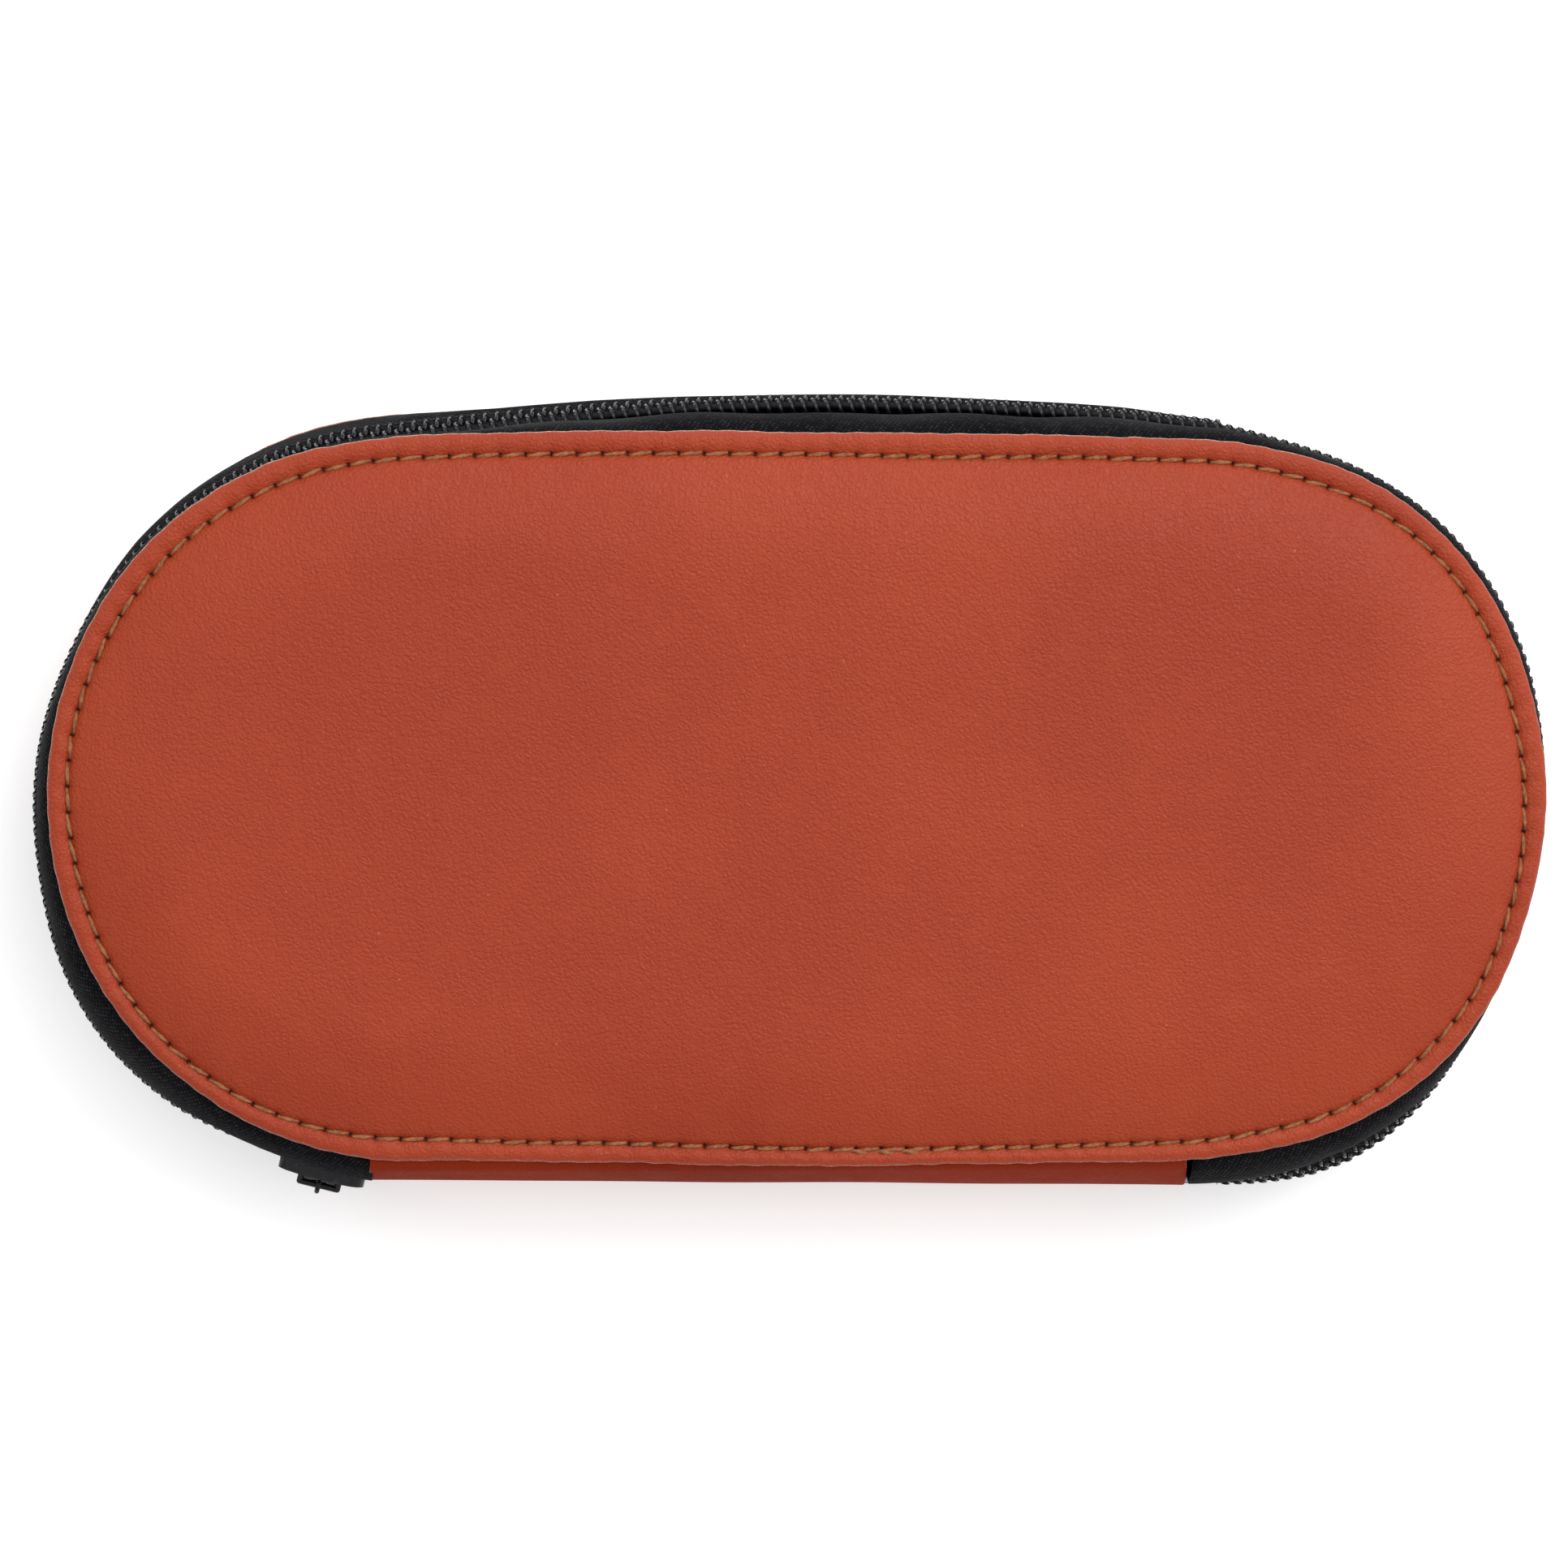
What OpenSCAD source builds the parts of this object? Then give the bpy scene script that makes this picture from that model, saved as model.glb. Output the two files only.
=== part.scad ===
// Zip-around manicure set case, lying on its back with the front panel up.
// +X runs along the case, +Y points away from the hinge strip, +Z through the thickness.
// Each half is the same stack, mirrored about the plane where the two zip halves meet.

/* [Case] */
// Thickness from the back crown to the front crown
case_t = 30; // [26:0.5:36]
// Radius of the panels' round ends, which is half their height
panel_r = 43.5; // [38:0.5:50]
// Distance from the middle to the centre of each round end of the panels
panel_cx = 45.6; // [35:0.1:60]

/* [Covers] */
// Rise of the padded crown above the rim
crown_h = 2.5; // [1.5:0.1:3.5]
// Distance from the stitch line to the flat top of the crown
crown_run = 14.9; // [9:0.1:22]
// Thickness of the cover leather
skin_t = 1; // [0.7:0.1:1.4]
// Thickness of the cover at the puffed rim
rim_t = 1.2; // [1:0.1:1.5]
// Distance from the panel edge to the stitch line
stitch_in = 2.6; // [2:0.1:3.2]
// Distance from the stitch line to the top of the puffed rim
puff_run = 1.4; // [1:0.1:1.8]
// Depth of the valley that the stitches pull into the leather
valley_d = 0.3; // [0.15:0.05:0.4]

/* [Layers] */
// Thickness of the stiffening board
board_t = 1.1; // [0.8:0.1:1.4]
// Thickness of the lining
lining_t = 0.7; // [0.5:0.1:1]
// How far the lining's edge stays inside the tape's bend
lining_in = 0.2; // [0.1:0.1:1]
// How far the board's edge stays inside the tape's seam
board_in = 0.3; // [0.1:0.1:1]
// Gap between layers that follow a curve
layer_gap = 0.05; // [0.03:0.01:0.1]

/* [Zip] */
// Distance from the middle to the centre of each round end of the zip
zip_cx = 45.9; // [35:0.1:60]
// How far the zip's end arcs sit below the panels' axis
zip_drop = 0.5; // [0:0.1:1.5]
// How far the zip stands outside the panel edge at the round ends
zip_out = 2.5; // [2:0.1:4]
// Extra outward bow of the zip along the top run
zip_bow = 2.8; // [1:0.1:5]
// Thickness of the woven tape
tape_t = 0.6; // [0.4:0.05:0.8]
// Width of the tape sewn under the cover's rim
tape_seam = 4.3; // [3.5:0.1:5]
// Outer radius of the bend from the seam to the wall
tape_bend = 2; // [1.2:0.1:3]
// Gap between the two tapes' woven edges
tape_split = 1.7; // [1.5:0.1:2.2]
// Pitch of the coil's loops
coil_pitch = 1.44; // [1.3:0.01:1.7]
// Height of the coil above the tape
coil_h = 1.9; // [1.6:0.1:2.3]
// Width of one coil from heel to head
coil_w = 3.3; // [2.9:0.1:3.7]
// How far each head reaches past the middle plane
coil_bite = 0.4; // [0.3:0.05:0.6]
// Thickness of one loop along the chain
loop_t = 0.55; // [0.45:0.01:0.58]
// Thickness of the cord that the loops are wound round
cord_t = 0.7; // [0.5:0.05:0.8]

/* [Hinge strip] */
// Length of the leather hinge strip
strip_len = 96.9; // [60:0.1:110]
// Offset of the strip's middle along the case
strip_x = -2.1; // [-5:0.1:5]
// Thickness of the strip's leather
strip_t = 1; // [0.7:0.1:1.3]
// Thickness of the strip's lining
strip_lining_t = 0.5; // [0.3:0.1:0.8]
// Outward bulge of the strip between its folds
strip_bulge = 3.4; // [2:0.1:4]
// Radius of the rolled fold at each edge of the strip
fold_r = 0.7; // [0.5:0.05:0.8]
// Gap between a fold and the flap under the rim
fold_gap = 0.3; // [0.2:0.05:0.5]
// How far the folds lie outside the panel edge
fold_out = 0.8; // [0.6:0.1:1.2]

/* [Slider] */
// Length of the slider along the chain
slider_len = 10.5; // [9:0.1:12]
// Width of the slider across the shoulders
slider_w = 9.2; // [8.6:0.1:10.5]
// Width of the slider at the tail
slider_tail_w = 8.2; // [7.8:0.1:8.6]
// Thickness of each slider plate
plate_t = 0.95; // [0.8:0.05:1.2]
// Running gap between the slider and the tape or coil
slider_gap = 0.3; // [0.2:0.05:0.35]
// Thickness of the slider's side lips
lip_t = 0.7; // [0.5:0.05:0.9]
// Width of the post that joins the two plates
post_w = 1.1; // [0.9:0.05:1.1]
// Length of the post along the chain
post_len = 2.4; // [1.8:0.1:3]
// Radius of the bail's bar
bail_r = 0.4; // [0.35:0.05:0.5]
// Length of the bail between its feet
bail_len = 4.6; // [3.5:0.1:5.5]
// Radius of the pull's wire ring
wire_r = 0.3; // [0.25:0.05:0.35]
// Clearance around the wire in the bail
wire_gap = 0.08; // [0.05:0.01:0.12]
// Length of the pull's tab
tab_len = 11; // [7:0.5:11.5]
// Width of the pull's tab
tab_w = 4.2; // [3:0.1:5]
// Thickness of the pull's tab
tab_t = 0.9; // [0.7:0.1:1]

/* [Inside] */
// Number of elastic tool loops
tool_loops = 8; // [4:1:10]
// Inner radius of a tool loop
loop_r = 4.1; // [3.5:0.1:4.3]
// Distance from one tool loop to the next
loop_step = 14; // [12:0.5:15]
// Thickness of the elastic
elastic_t = 0.7; // [0.5:0.1:0.8]
// Width of the elastic band
elastic_w = 20; // [12:1:28]
// Length of the lid pocket
pocket_len = 116; // [80:1:120]
// Height of the lid pocket
pocket_h = 44; // [30:1:50]
// Thickness of the pocket's fabric
pocket_t = 0.7; // [0.5:0.1:1]
// Height of the binding along the pocket's mouth
binding_h = 6; // [4:0.5:8]
// Thickness of the binding
binding_t = 0.8; // [0.6:0.1:1.2]

/* [Hidden] */
$fn = 64;
leather = "#b4492f";
leather_dark = "#8e3622";
woven = "#1c1c20";
nylon = "#2a2a2e";
metal = "#3a3a3d";
lining = "#26262a";
padding = "#8b8b86";
card = "#b9a88a";

// A length that reaches past any profile it trims
reach = 2 * panel_r;
// How far a cut runs past the face that it opens
cut_past = 1;
mid_z = case_t / 2;

// Small shapes of the slider and its pull
shoulder_round = 1.8;
tail_round = 1.2;
notch = 1;
post_set = 1.2;
neck_w = 1.8;
neck_len = 1.5;
post_taper = 0.15;
eye_r = 0.95;

// Small fittings at the two ends of the chain
splice_len = 0.5;
end_gap = 0.3;
park_gap = 0.4;
park_ahead = 1.6;
bare_tape = 1;
stop_len = 2.2;
stop_w = 5.6;
stop_gap = 0.4;
clip_len = 1.8;
clip_w = 1.5;
clip_h = 1.5;
clip_mid = 2.4;

// Hems and corners of the sewn pieces
hem = 1;
hem_turn = 4;
loop_leg = 1.2;
pocket_round = 12;
pocket_rise = 0.3;
pocket_hem = 3;

// Levels of one half, measured from the crown inwards
rim_under = crown_h + rim_t;
seam_top = rim_under + tape_t;
lining_top = seam_top + lining_t;
board_under = seam_top - board_t;

// Outline of the cover: a flat top, one arc down to the stitch valley, one arc over the rim
stitch_r = panel_r - stitch_in;
plateau_r = stitch_r - crown_run;
crown_drop = crown_h + valley_d;
crown_arc = (pow(crown_run, 2) + pow(crown_drop, 2)) / (2 * crown_drop);
puff_arc = (pow(puff_run, 2) + pow(valley_d, 2)) / (2 * valley_d);

// Path of the coil's outer face: two end arcs joined by one flatter arc along the top
band_r = panel_r + zip_out;
end_y = -zip_drop;
bow_rest = (pow(zip_bow, 2) + pow(zip_cx, 2)) / (2 * zip_bow);
top_r = band_r + bow_rest;
top_y = end_y + zip_bow - bow_rest;
top_turn = asin(zip_cx / bow_rest);
end_turn = 180 - top_turn;
tape_face = -coil_h;
tape_back = tape_face - tape_t;
bend_at = tape_face - tape_bend;
seam_in = bend_at - tape_seam;
board_r = band_r + seam_in - zip_drop - board_in;
lining_r = band_r + bend_at - zip_drop - lining_in;

// Turn about an end arc's centre that spans a length along the chain
function turn_of(len) = len / band_r * 180 / PI;

// Where the zip starts and stops beside the strip, as turns from straight down
strip_left = strip_x - strip_len / 2;
strip_right = strip_x + strip_len / 2;
tape_from = asin((-strip_left - zip_cx + end_gap) / (band_r + seam_in));
tape_to = asin((strip_right - zip_cx + end_gap) / (band_r + seam_in));
loop_turns = round(end_turn * PI / 180 * (band_r - coil_h / 2) / coil_pitch);
loop_turn = end_turn / loop_turns;
top_loops = round(2 * top_turn * PI / 180 * (top_r - coil_h / 2) / coil_pitch);
top_loop_turn = 2 * top_turn / top_loops;
// Part of a pitch that keeps an end arc's last loop off the top arc's first
joint_margin = 0.01;

// The slider's place when the zip is closed, and the stretch of chain that it covers
slider_at = tape_from + turn_of(park_gap + slider_len / 2);
park_to = slider_at + turn_of(slider_len / 2 + park_ahead);
post_at = slider_at - turn_of(slider_len / 2 - post_len / 2 - post_set);
chain_from = post_at + turn_of(post_len / 2 + bare_tape);
stop_at = tape_to + turn_of(stop_gap + stop_len / 2);
chain_to = stop_at + turn_of(stop_len / 2 + bare_tape);
park_top = slider_w / 2 + end_gap;

// Fold axes of the hinge strip and the arc between them
fold_y = -panel_r - fold_out;
fold_z = seam_top + fold_gap + fold_r;
strip_half = mid_z - fold_z;
strip_arc = (pow(strip_half, 2) + pow(strip_bulge, 2)) / (2 * strip_bulge);
strip_arc_y = fold_y - strip_bulge + strip_arc;
strip_turn = asin(strip_half / strip_arc);

// The slider's layers, outward from its inner plate, measured from the coil's outer face
inner_plate_top = tape_back - slider_gap;
inner_plate_in = inner_plate_top - plate_t;
outer_plate_in = slider_gap;
outer_plate_top = outer_plate_in + plate_t;
bail_at = outer_plate_top + 2 * wire_r + 2 * wire_gap + bail_r;
ring_r = bail_r + wire_gap + wire_r;

module front_half() {
    translate([0, 0, case_t]) mirror([0, 0, 1]) children();
}

// Sweeps a profile of radius and height round the panels' stadium outline
module round_panel() {
    for (side = [0, 1]) {
        mirror([side, 0, 0]) translate([panel_cx, 0, 0]) rotate([0, 0, -90])
            rotate_extrude(angle = 180, $fn = 128) children();
    }
    translate([-panel_cx, 0, 0]) rotate([90, 0, 90]) linear_extrude(2 * panel_cx) {
        children();
        mirror([1, 0]) children();
    }
}

// Sweeps a profile along the left end arc, between two turns from straight down
module sweep_left(from, to) {
    translate([-zip_cx, end_y, 0]) rotate([0, 0, -90 - to])
        rotate_extrude(angle = to - from, $fn = 180) translate([band_r, 0]) children();
}

// Sweeps a profile along the whole zip path, from the left of the strip round to its right
module sweep_zip(from, to) {
    sweep_left(from, end_turn) children();
    mirror([1, 0, 0]) sweep_left(to, end_turn) children();
    translate([0, top_y, 0]) rotate([0, 0, 90 - top_turn])
        rotate_extrude(angle = 2 * top_turn, $fn = 1080) translate([top_r, 0]) children();
}

// Puts a piece on the left end arc with +X pointing outwards from the coil's outer face
module on_left(turn) {
    translate([-zip_cx, end_y, 0]) rotate([0, 0, -90 - turn]) translate([band_r, 0, 0]) children();
}

module on_top(turn) {
    translate([0, top_y, 0]) rotate([0, 0, 90 - turn]) translate([top_r, 0, 0]) children();
}

// Region under the crown's curve, let into the cover by the given depth
module crown_area(depth) {
    translate([0, depth]) square([plateau_r, rim_under - depth]);
    intersection() {
        translate([plateau_r, crown_arc]) circle(crown_arc - depth, $fn = 180);
        translate([plateau_r, 0]) square([crown_run, rim_under]);
    }
}

module cover_profile() {
    difference() {
        union() {
            crown_area(0);
            intersection() {
                translate([stitch_r + puff_run, crown_h + puff_arc]) circle(puff_arc);
                translate([stitch_r, 0]) square([stitch_in, rim_under]);
            }
        }
        crown_area(skin_t);
    }
}

module cover() {
    round_panel() cover_profile();
}

module foam() {
    round_panel() intersection() {
        crown_area(skin_t + layer_gap);
        square([board_r, board_under]);
    }
}

module board() {
    translate([0, 0, board_under]) linear_extrude(board_t) stadium(board_r, panel_cx);
}

module inner_lining() {
    translate([0, 0, seam_top]) linear_extrude(lining_t) stadium(lining_r, panel_cx);
}

module stadium(r, half) {
    square([2 * half, 2 * r], center = true);
    for (side = [-1, 1]) translate([side * half, 0]) circle(r, $fn = 128);
}

// Seam, rounded bend and upright wall of one tape
module tape_profile(wall_top) {
    translate([seam_in, rim_under]) square([tape_seam, tape_t]);
    intersection() {
        difference() {
            translate([bend_at, rim_under + tape_bend]) circle(tape_bend);
            translate([bend_at, rim_under + tape_bend]) circle(tape_bend - tape_t);
        }
        translate([bend_at, rim_under]) square(tape_bend);
    }
    translate([tape_back, rim_under + tape_bend]) square([tape_t, wall_top - rim_under - tape_bend]);
}

module tape(from) {
    sweep_zip(from, tape_to) tape_profile(mid_z - tape_split / 2);
}

// One loop of the coil, a rounded link standing across the chain
module coil_loop() {
    head = mid_z + coil_bite;
    translate([-coil_h / 2, 0, 0]) rotate([90, 0, 0]) linear_extrude(loop_t, center = true) {
        translate([-coil_h / 2, head - coil_w + coil_h / 2]) square([coil_h, coil_w - coil_h]);
        translate([0, head - coil_h / 2]) circle(coil_h / 2, $fn = 24);
        translate([0, head - coil_w + coil_h / 2]) circle(coil_h / 2, $fn = 24);
    }
}

module cord_profile() {
    translate([-coil_h / 2 - cord_t / 2, mid_z + coil_bite - coil_w + coil_h / 2 - cord_t / 2])
        square(cord_t);
}

// Loops on one end arc; shift is half a pitch on the front coil, so the heads interleave
module end_loops(from, to, shift) {
    for (k = [ceil(from / loop_turn - shift) : floor(to / loop_turn - shift - joint_margin)])
        on_left((k + shift) * loop_turn) coil_loop();
}

module coil(from, shift) {
    end_loops(from, end_turn, shift);
    mirror([1, 0, 0]) end_loops(chain_to, end_turn, shift);
    for (k = [0 : top_loops - 2 * shift]) on_top(-top_turn + (k + shift) * top_loop_turn) coil_loop();
    sweep_zip(from, chain_to) cord_profile();
    for (side = [-1, 1]) on_top(side * top_turn) cord_splice();
}

// Binds the cord together where two arcs of the path meet
module cord_splice() {
    side = cord_t + 2 * layer_gap;
    translate([-(coil_h + side) / 2, -splice_len / 2, mid_z + coil_bite - coil_w + (coil_h - side) / 2])
        cube([side, splice_len, side]);
}

module strip_flap() {
    translate([strip_left, fold_y, rim_under]) cube([strip_len, tape_seam + fold_out, tape_t]);
}

// Ring sector across the strip, between two radii about the strip's own arc
module strip_sector(inner, outer, turn, len) {
    translate([strip_x - len / 2, strip_arc_y, mid_z]) rotate([90, 0, 90]) linear_extrude(len)
        intersection() {
            difference() {
                circle(outer, $fn = 180);
                circle(inner, $fn = 180);
            }
            polygon([
                [0, 0],
                [-reach, -reach * tan(turn)],
                [-reach, reach * tan(turn)]
            ]);
        }
}

module back_cover() {
    color(leather) cover();
}

module back_foam() {
    color(padding) foam();
}

module back_board() {
    color(card) board();
}

module back_lining() {
    color(lining) inner_lining();
}

module back_tape() {
    color(woven) tape(tape_from);
}

module back_coil() {
    color(nylon) coil(chain_from, 0);
}

module back_strip_flap() {
    color(leather_dark) strip_flap();
}

module front_cover() {
    color(leather) front_half() cover();
}

module front_foam() {
    color(padding) front_half() foam();
}

module front_board() {
    color(card) front_half() board();
}

module front_lining() {
    color(lining) front_half() inner_lining();
}

// The lid's tape, cut low where the parked slider grips the tape's end
module front_tape() {
    cut_low = mid_z - park_top - end_gap;
    color(woven) front_half() difference() {
        tape(tape_from);
        sweep_left(0, park_to) translate([bend_at, cut_low]) square([-bend_at, park_top]);
    }
}

module front_coil() {
    color(nylon) front_half() coil(park_to, 0.5);
}

module front_strip_flap() {
    color(leather_dark) front_half() strip_flap();
}

// End of the front tape inside the parked slider
module front_tape_end() {
    color(woven) sweep_left(tape_from, park_to - turn_of(end_gap))
        translate([tape_back, mid_z + tape_split / 2]) square([tape_t, park_top - tape_split / 2]);
}

module front_coil_end() {
    to = park_to - turn_of(2 * end_gap);
    color(nylon) front_half() {
        end_loops(chain_from, to, 0.5);
        sweep_left(chain_from, to) cord_profile();
    }
}

// Leather strip with a rolled fold along each edge, on the two fold axes
module hinge_strip() {
    color(leather_dark) {
        strip_sector(strip_arc - strip_t / 2, strip_arc + strip_t / 2, strip_turn, strip_len);
        for (z = [fold_z, case_t - fold_z])
            translate([strip_left, fold_y, z]) rotate([0, 90, 0]) cylinder(h = strip_len, r = fold_r);
    }
}

module hinge_lining() {
    face = strip_arc - strip_t / 2 - layer_gap;
    color(lining) strip_sector(face - strip_lining_t, face, strip_turn - hem_turn, strip_len - 2 * hem);
}

// Band clamped over both tapes where the zip ends beside the strip
module chain_stop() {
    color(metal) mirror([1, 0, 0]) on_left(stop_at)
        translate([tape_face + slider_gap, -stop_len / 2, mid_z - stop_w / 2])
            cube([coil_h - slider_gap, stop_len, stop_w]);
}

// Clip on each tape's edge that the slider's mouth meets when the zip is closed
module top_stops() {
    color(metal) for (side = [-1, 1]) on_left(post_at)
        translate([tape_face, -clip_len / 2, mid_z + side * clip_mid - clip_w / 2])
            cube([clip_h, clip_len, clip_w]);
}

// Plan of a slider plate: wide rounded shoulders, a notch between them and a narrower tail
module slider_plan() {
    front = slider_len / 2;
    polygon([
        [-front, tail_round - slider_tail_w / 2],
        [tail_round - front, -slider_tail_w / 2],
        [front - shoulder_round, -slider_w / 2],
        [front, shoulder_round - slider_w / 2],
        [front, -notch],
        [front - notch, 0],
        [front, notch],
        [front, slider_w / 2 - shoulder_round],
        [front - shoulder_round, slider_w / 2],
        [tail_round - front, slider_tail_w / 2],
        [-front, slider_tail_w / 2 - tail_round]
    ]);
    for (side = [-1, 1]) {
        translate([front - shoulder_round, side * (slider_w / 2 - shoulder_round)]) circle(shoulder_round);
        translate([tail_round - front, side * (slider_tail_w / 2 - tail_round)]) circle(tail_round);
    }
}

// Channel for the coil between the two side lips
module channel_plan() {
    front = slider_len / 2 + cut_past;
    polygon([
        [-front, lip_t - slider_tail_w / 2],
        [front, lip_t - slider_w / 2],
        [front, slider_w / 2 - lip_t],
        [-front, slider_tail_w / 2 - lip_t]
    ]);
}

// Wedge that parts the two coils, pointing along the chain
module post_plan(width) {
    polygon([
        [-post_len / 2, 0],
        [0, -width / 2],
        [post_len / 2, post_taper - width / 2],
        [post_len / 2, width / 2 - post_taper],
        [0, width / 2]
    ]);
}

// Extrudes a plan of length and width outwards along the radius
module outwards(from, to) {
    translate([from, 0, mid_z]) rotate([90, 0, 90]) linear_extrude(to - from) children();
}

// Ring about the end arc's centre, which gives the slider its running faces
module zip_ring(from, to) {
    translate([-zip_cx, end_y, 0]) linear_extrude(case_t) difference() {
        circle(band_r + to, $fn = 180);
        circle(band_r + from, $fn = 180);
    }
}

module slider_plate(from, to) {
    intersection() {
        zip_ring(from, to);
        on_left(slider_at) outwards(from - cut_past, to + cut_past) slider_plan();
    }
}

module slider_body() {
    post_y = slider_len / 2 - post_len / 2 - post_set;
    color(metal) {
        slider_plate(inner_plate_in, inner_plate_top);
        slider_plate(outer_plate_in, outer_plate_top);
        intersection() {
            zip_ring(tape_face + slider_gap, outer_plate_top);
            on_left(slider_at) outwards(tape_back, outer_plate_top + cut_past) difference() {
                slider_plan();
                channel_plan();
            }
        }
        intersection() {
            zip_ring(inner_plate_in, outer_plate_top);
            on_left(slider_at) outwards(tape_back - plate_t, outer_plate_top)
                translate([post_y, 0]) post_plan(post_w);
        }
        on_left(slider_at) {
            for (side = [-1, 1]) translate([outer_plate_in + plate_t / 2, side * bail_len / 2, mid_z])
                rotate([0, 90, 0]) cylinder(h = bail_at - outer_plate_in - plate_t / 2, r = bail_r);
            for (side = [-1, 1]) translate([bail_at, side * bail_len / 2, mid_z]) sphere(bail_r);
            translate([bail_at, 0, mid_z]) rotate([90, 0, 0])
                cylinder(h = bail_len, r = bail_r, center = true);
        }
    }
}

// Wire ring round the bail with a flat tab that hangs from it
module pull_tab() {
    tip = tab_w / 2;
    color(metal) on_left(slider_at) translate([bail_at, 0, mid_z]) {
        rotate([90, 0, 0]) rotate_extrude($fn = 48) translate([ring_r, 0]) circle(wire_r, $fn = 24);
        translate([-tab_t / 2, 0, -ring_r]) rotate([90, 0, 90]) linear_extrude(tab_t) difference() {
            union() {
                polygon([
                    [-neck_w / 2, 0],
                    [-tip, -neck_len],
                    [-tip, tip - tab_len],
                    [tip, tip - tab_len],
                    [tip, -neck_len],
                    [neck_w / 2, 0]
                ]);
                translate([0, tip - tab_len]) circle(tip);
            }
            translate([0, tip - tab_len]) circle(eye_r);
        }
    }
}

// Elastic sewn to the lining between the loops and standing up over each tool
module tool_band() {
    band = tool_loops * loop_step;
    leg = loop_r + elastic_t;
    color(woven) translate([0, elastic_w / 2, lining_top]) rotate([90, 0, 0]) linear_extrude(elastic_w)
        difference() {
            union() {
                translate([-band / 2, 0]) square([band, elastic_t]);
                for (k = [0 : tool_loops - 1]) translate([(k + 0.5) * loop_step - band / 2, 0]) {
                    translate([-leg, 0]) square([2 * leg, loop_leg]);
                    translate([0, loop_leg]) circle(leg);
                }
            }
            for (k = [0 : tool_loops - 1]) translate([(k + 0.5) * loop_step - band / 2, 0]) {
                translate([-loop_r, -cut_past]) square([2 * loop_r, loop_leg + cut_past]);
                translate([0, loop_leg]) circle(loop_r);
            }
            translate([-band, -reach]) square([2 * band, reach]);
        }
}

// Rounded outline of the pocket, drawn in by the given margin, with its mouth edge left full
module pocket_plan(margin) {
    half = pocket_len / 2 - margin;
    low = margin - pocket_h / 2;
    translate([-half, low + pocket_round]) square([2 * half, pocket_h / 2 - low - pocket_round]);
    translate([pocket_round - half, low]) square([2 * (half - pocket_round), pocket_round + hem]);
    for (side = [-1, 1]) translate([side * (half - pocket_round), low + pocket_round]) circle(pocket_round);
}

// Slip pocket: a raised panel on a hem that is sewn down on three sides
module lid_pocket() {
    color(lining) front_half() translate([0, 0, lining_top]) {
        translate([0, 0, pocket_rise]) linear_extrude(pocket_t) pocket_plan(0);
        linear_extrude(pocket_rise) difference() {
            pocket_plan(0);
            pocket_plan(pocket_hem);
        }
    }
}

module pocket_binding() {
    edge = pocket_h / 2;
    color(woven) front_half() translate([-pocket_len / 2, 0, lining_top + pocket_rise + pocket_t])
        rotate([90, 0, 90]) linear_extrude(pocket_len) {
            translate([edge - binding_h + binding_t, 0]) square([binding_h - 2 * binding_t, binding_t]);
            for (y = [edge - binding_h + binding_t, edge - binding_t]) intersection() {
                translate([y, 0]) circle(binding_t);
                translate([y - binding_t, 0]) square([2 * binding_t, binding_t]);
            }
        }
}

back_cover();
back_foam();
back_board();
back_lining();
back_tape();
back_coil();
back_strip_flap();
tool_band();
front_tape_end();
front_coil_end();
top_stops();
front_cover();
front_foam();
front_board();
front_lining();
front_tape();
front_coil();
front_strip_flap();
lid_pocket();
pocket_binding();
hinge_strip();
hinge_lining();
chain_stop();
slider_body();
pull_tab();
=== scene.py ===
"""Looks of a zip-around manicure set case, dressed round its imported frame.

Sizes are in millimetres in the classes below and turn into metres when a mesh is made.
"""

import logging
import math
from dataclasses import dataclass, field
from enum import Enum

import bmesh
import bpy
import numpy as np
from mathutils import Matrix, Vector


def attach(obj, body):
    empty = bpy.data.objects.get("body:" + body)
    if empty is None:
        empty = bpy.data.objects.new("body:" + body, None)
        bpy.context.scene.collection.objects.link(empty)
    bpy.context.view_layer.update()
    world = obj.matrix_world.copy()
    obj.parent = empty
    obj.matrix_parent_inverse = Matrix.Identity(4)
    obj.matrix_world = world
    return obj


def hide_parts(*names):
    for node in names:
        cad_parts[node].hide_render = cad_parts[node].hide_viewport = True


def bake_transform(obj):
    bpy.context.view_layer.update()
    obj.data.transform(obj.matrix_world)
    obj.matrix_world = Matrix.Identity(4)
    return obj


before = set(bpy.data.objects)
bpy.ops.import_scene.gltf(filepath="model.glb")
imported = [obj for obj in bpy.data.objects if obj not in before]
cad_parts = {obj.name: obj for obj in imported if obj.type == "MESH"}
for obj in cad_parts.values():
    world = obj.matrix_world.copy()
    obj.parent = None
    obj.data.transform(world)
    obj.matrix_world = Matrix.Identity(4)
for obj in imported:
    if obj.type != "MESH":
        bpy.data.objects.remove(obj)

LOG = logging.getLogger("case")
MM = 0.001
MIDDLE = 15.0
CASE_T = 30.0
WELD_WITHIN = 2e-6
SLIVER = 1e-7


class Half(Enum):
    """The two halves of the case: the back one lies below, the front one is the lid."""

    BACK = "base"
    FRONT = "lid"

    @property
    def label(self) -> str:
        """The word that the names of this half's pieces start with."""
        return self.name.lower()

    @property
    def sign(self) -> int:
        """1 on the front and -1 on the back, for heights counted from the middle."""
        return 1 if self is Half.FRONT else -1


# ---------------------------------------------------------------- small tools


def smooth(low: float, high: float, x: np.ndarray) -> np.ndarray:
    """Steps smoothly from 0 to 1.

    Args:
        low: where the step starts.
        high: where the step ends, which may lie below low.
        x: the values to map.

    Returns:
        The step's height at each value.
    """
    t = np.clip((np.asarray(x, float) - low) / (high - low), 0, 1)
    return t * t * (3 - 2 * t)


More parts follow.
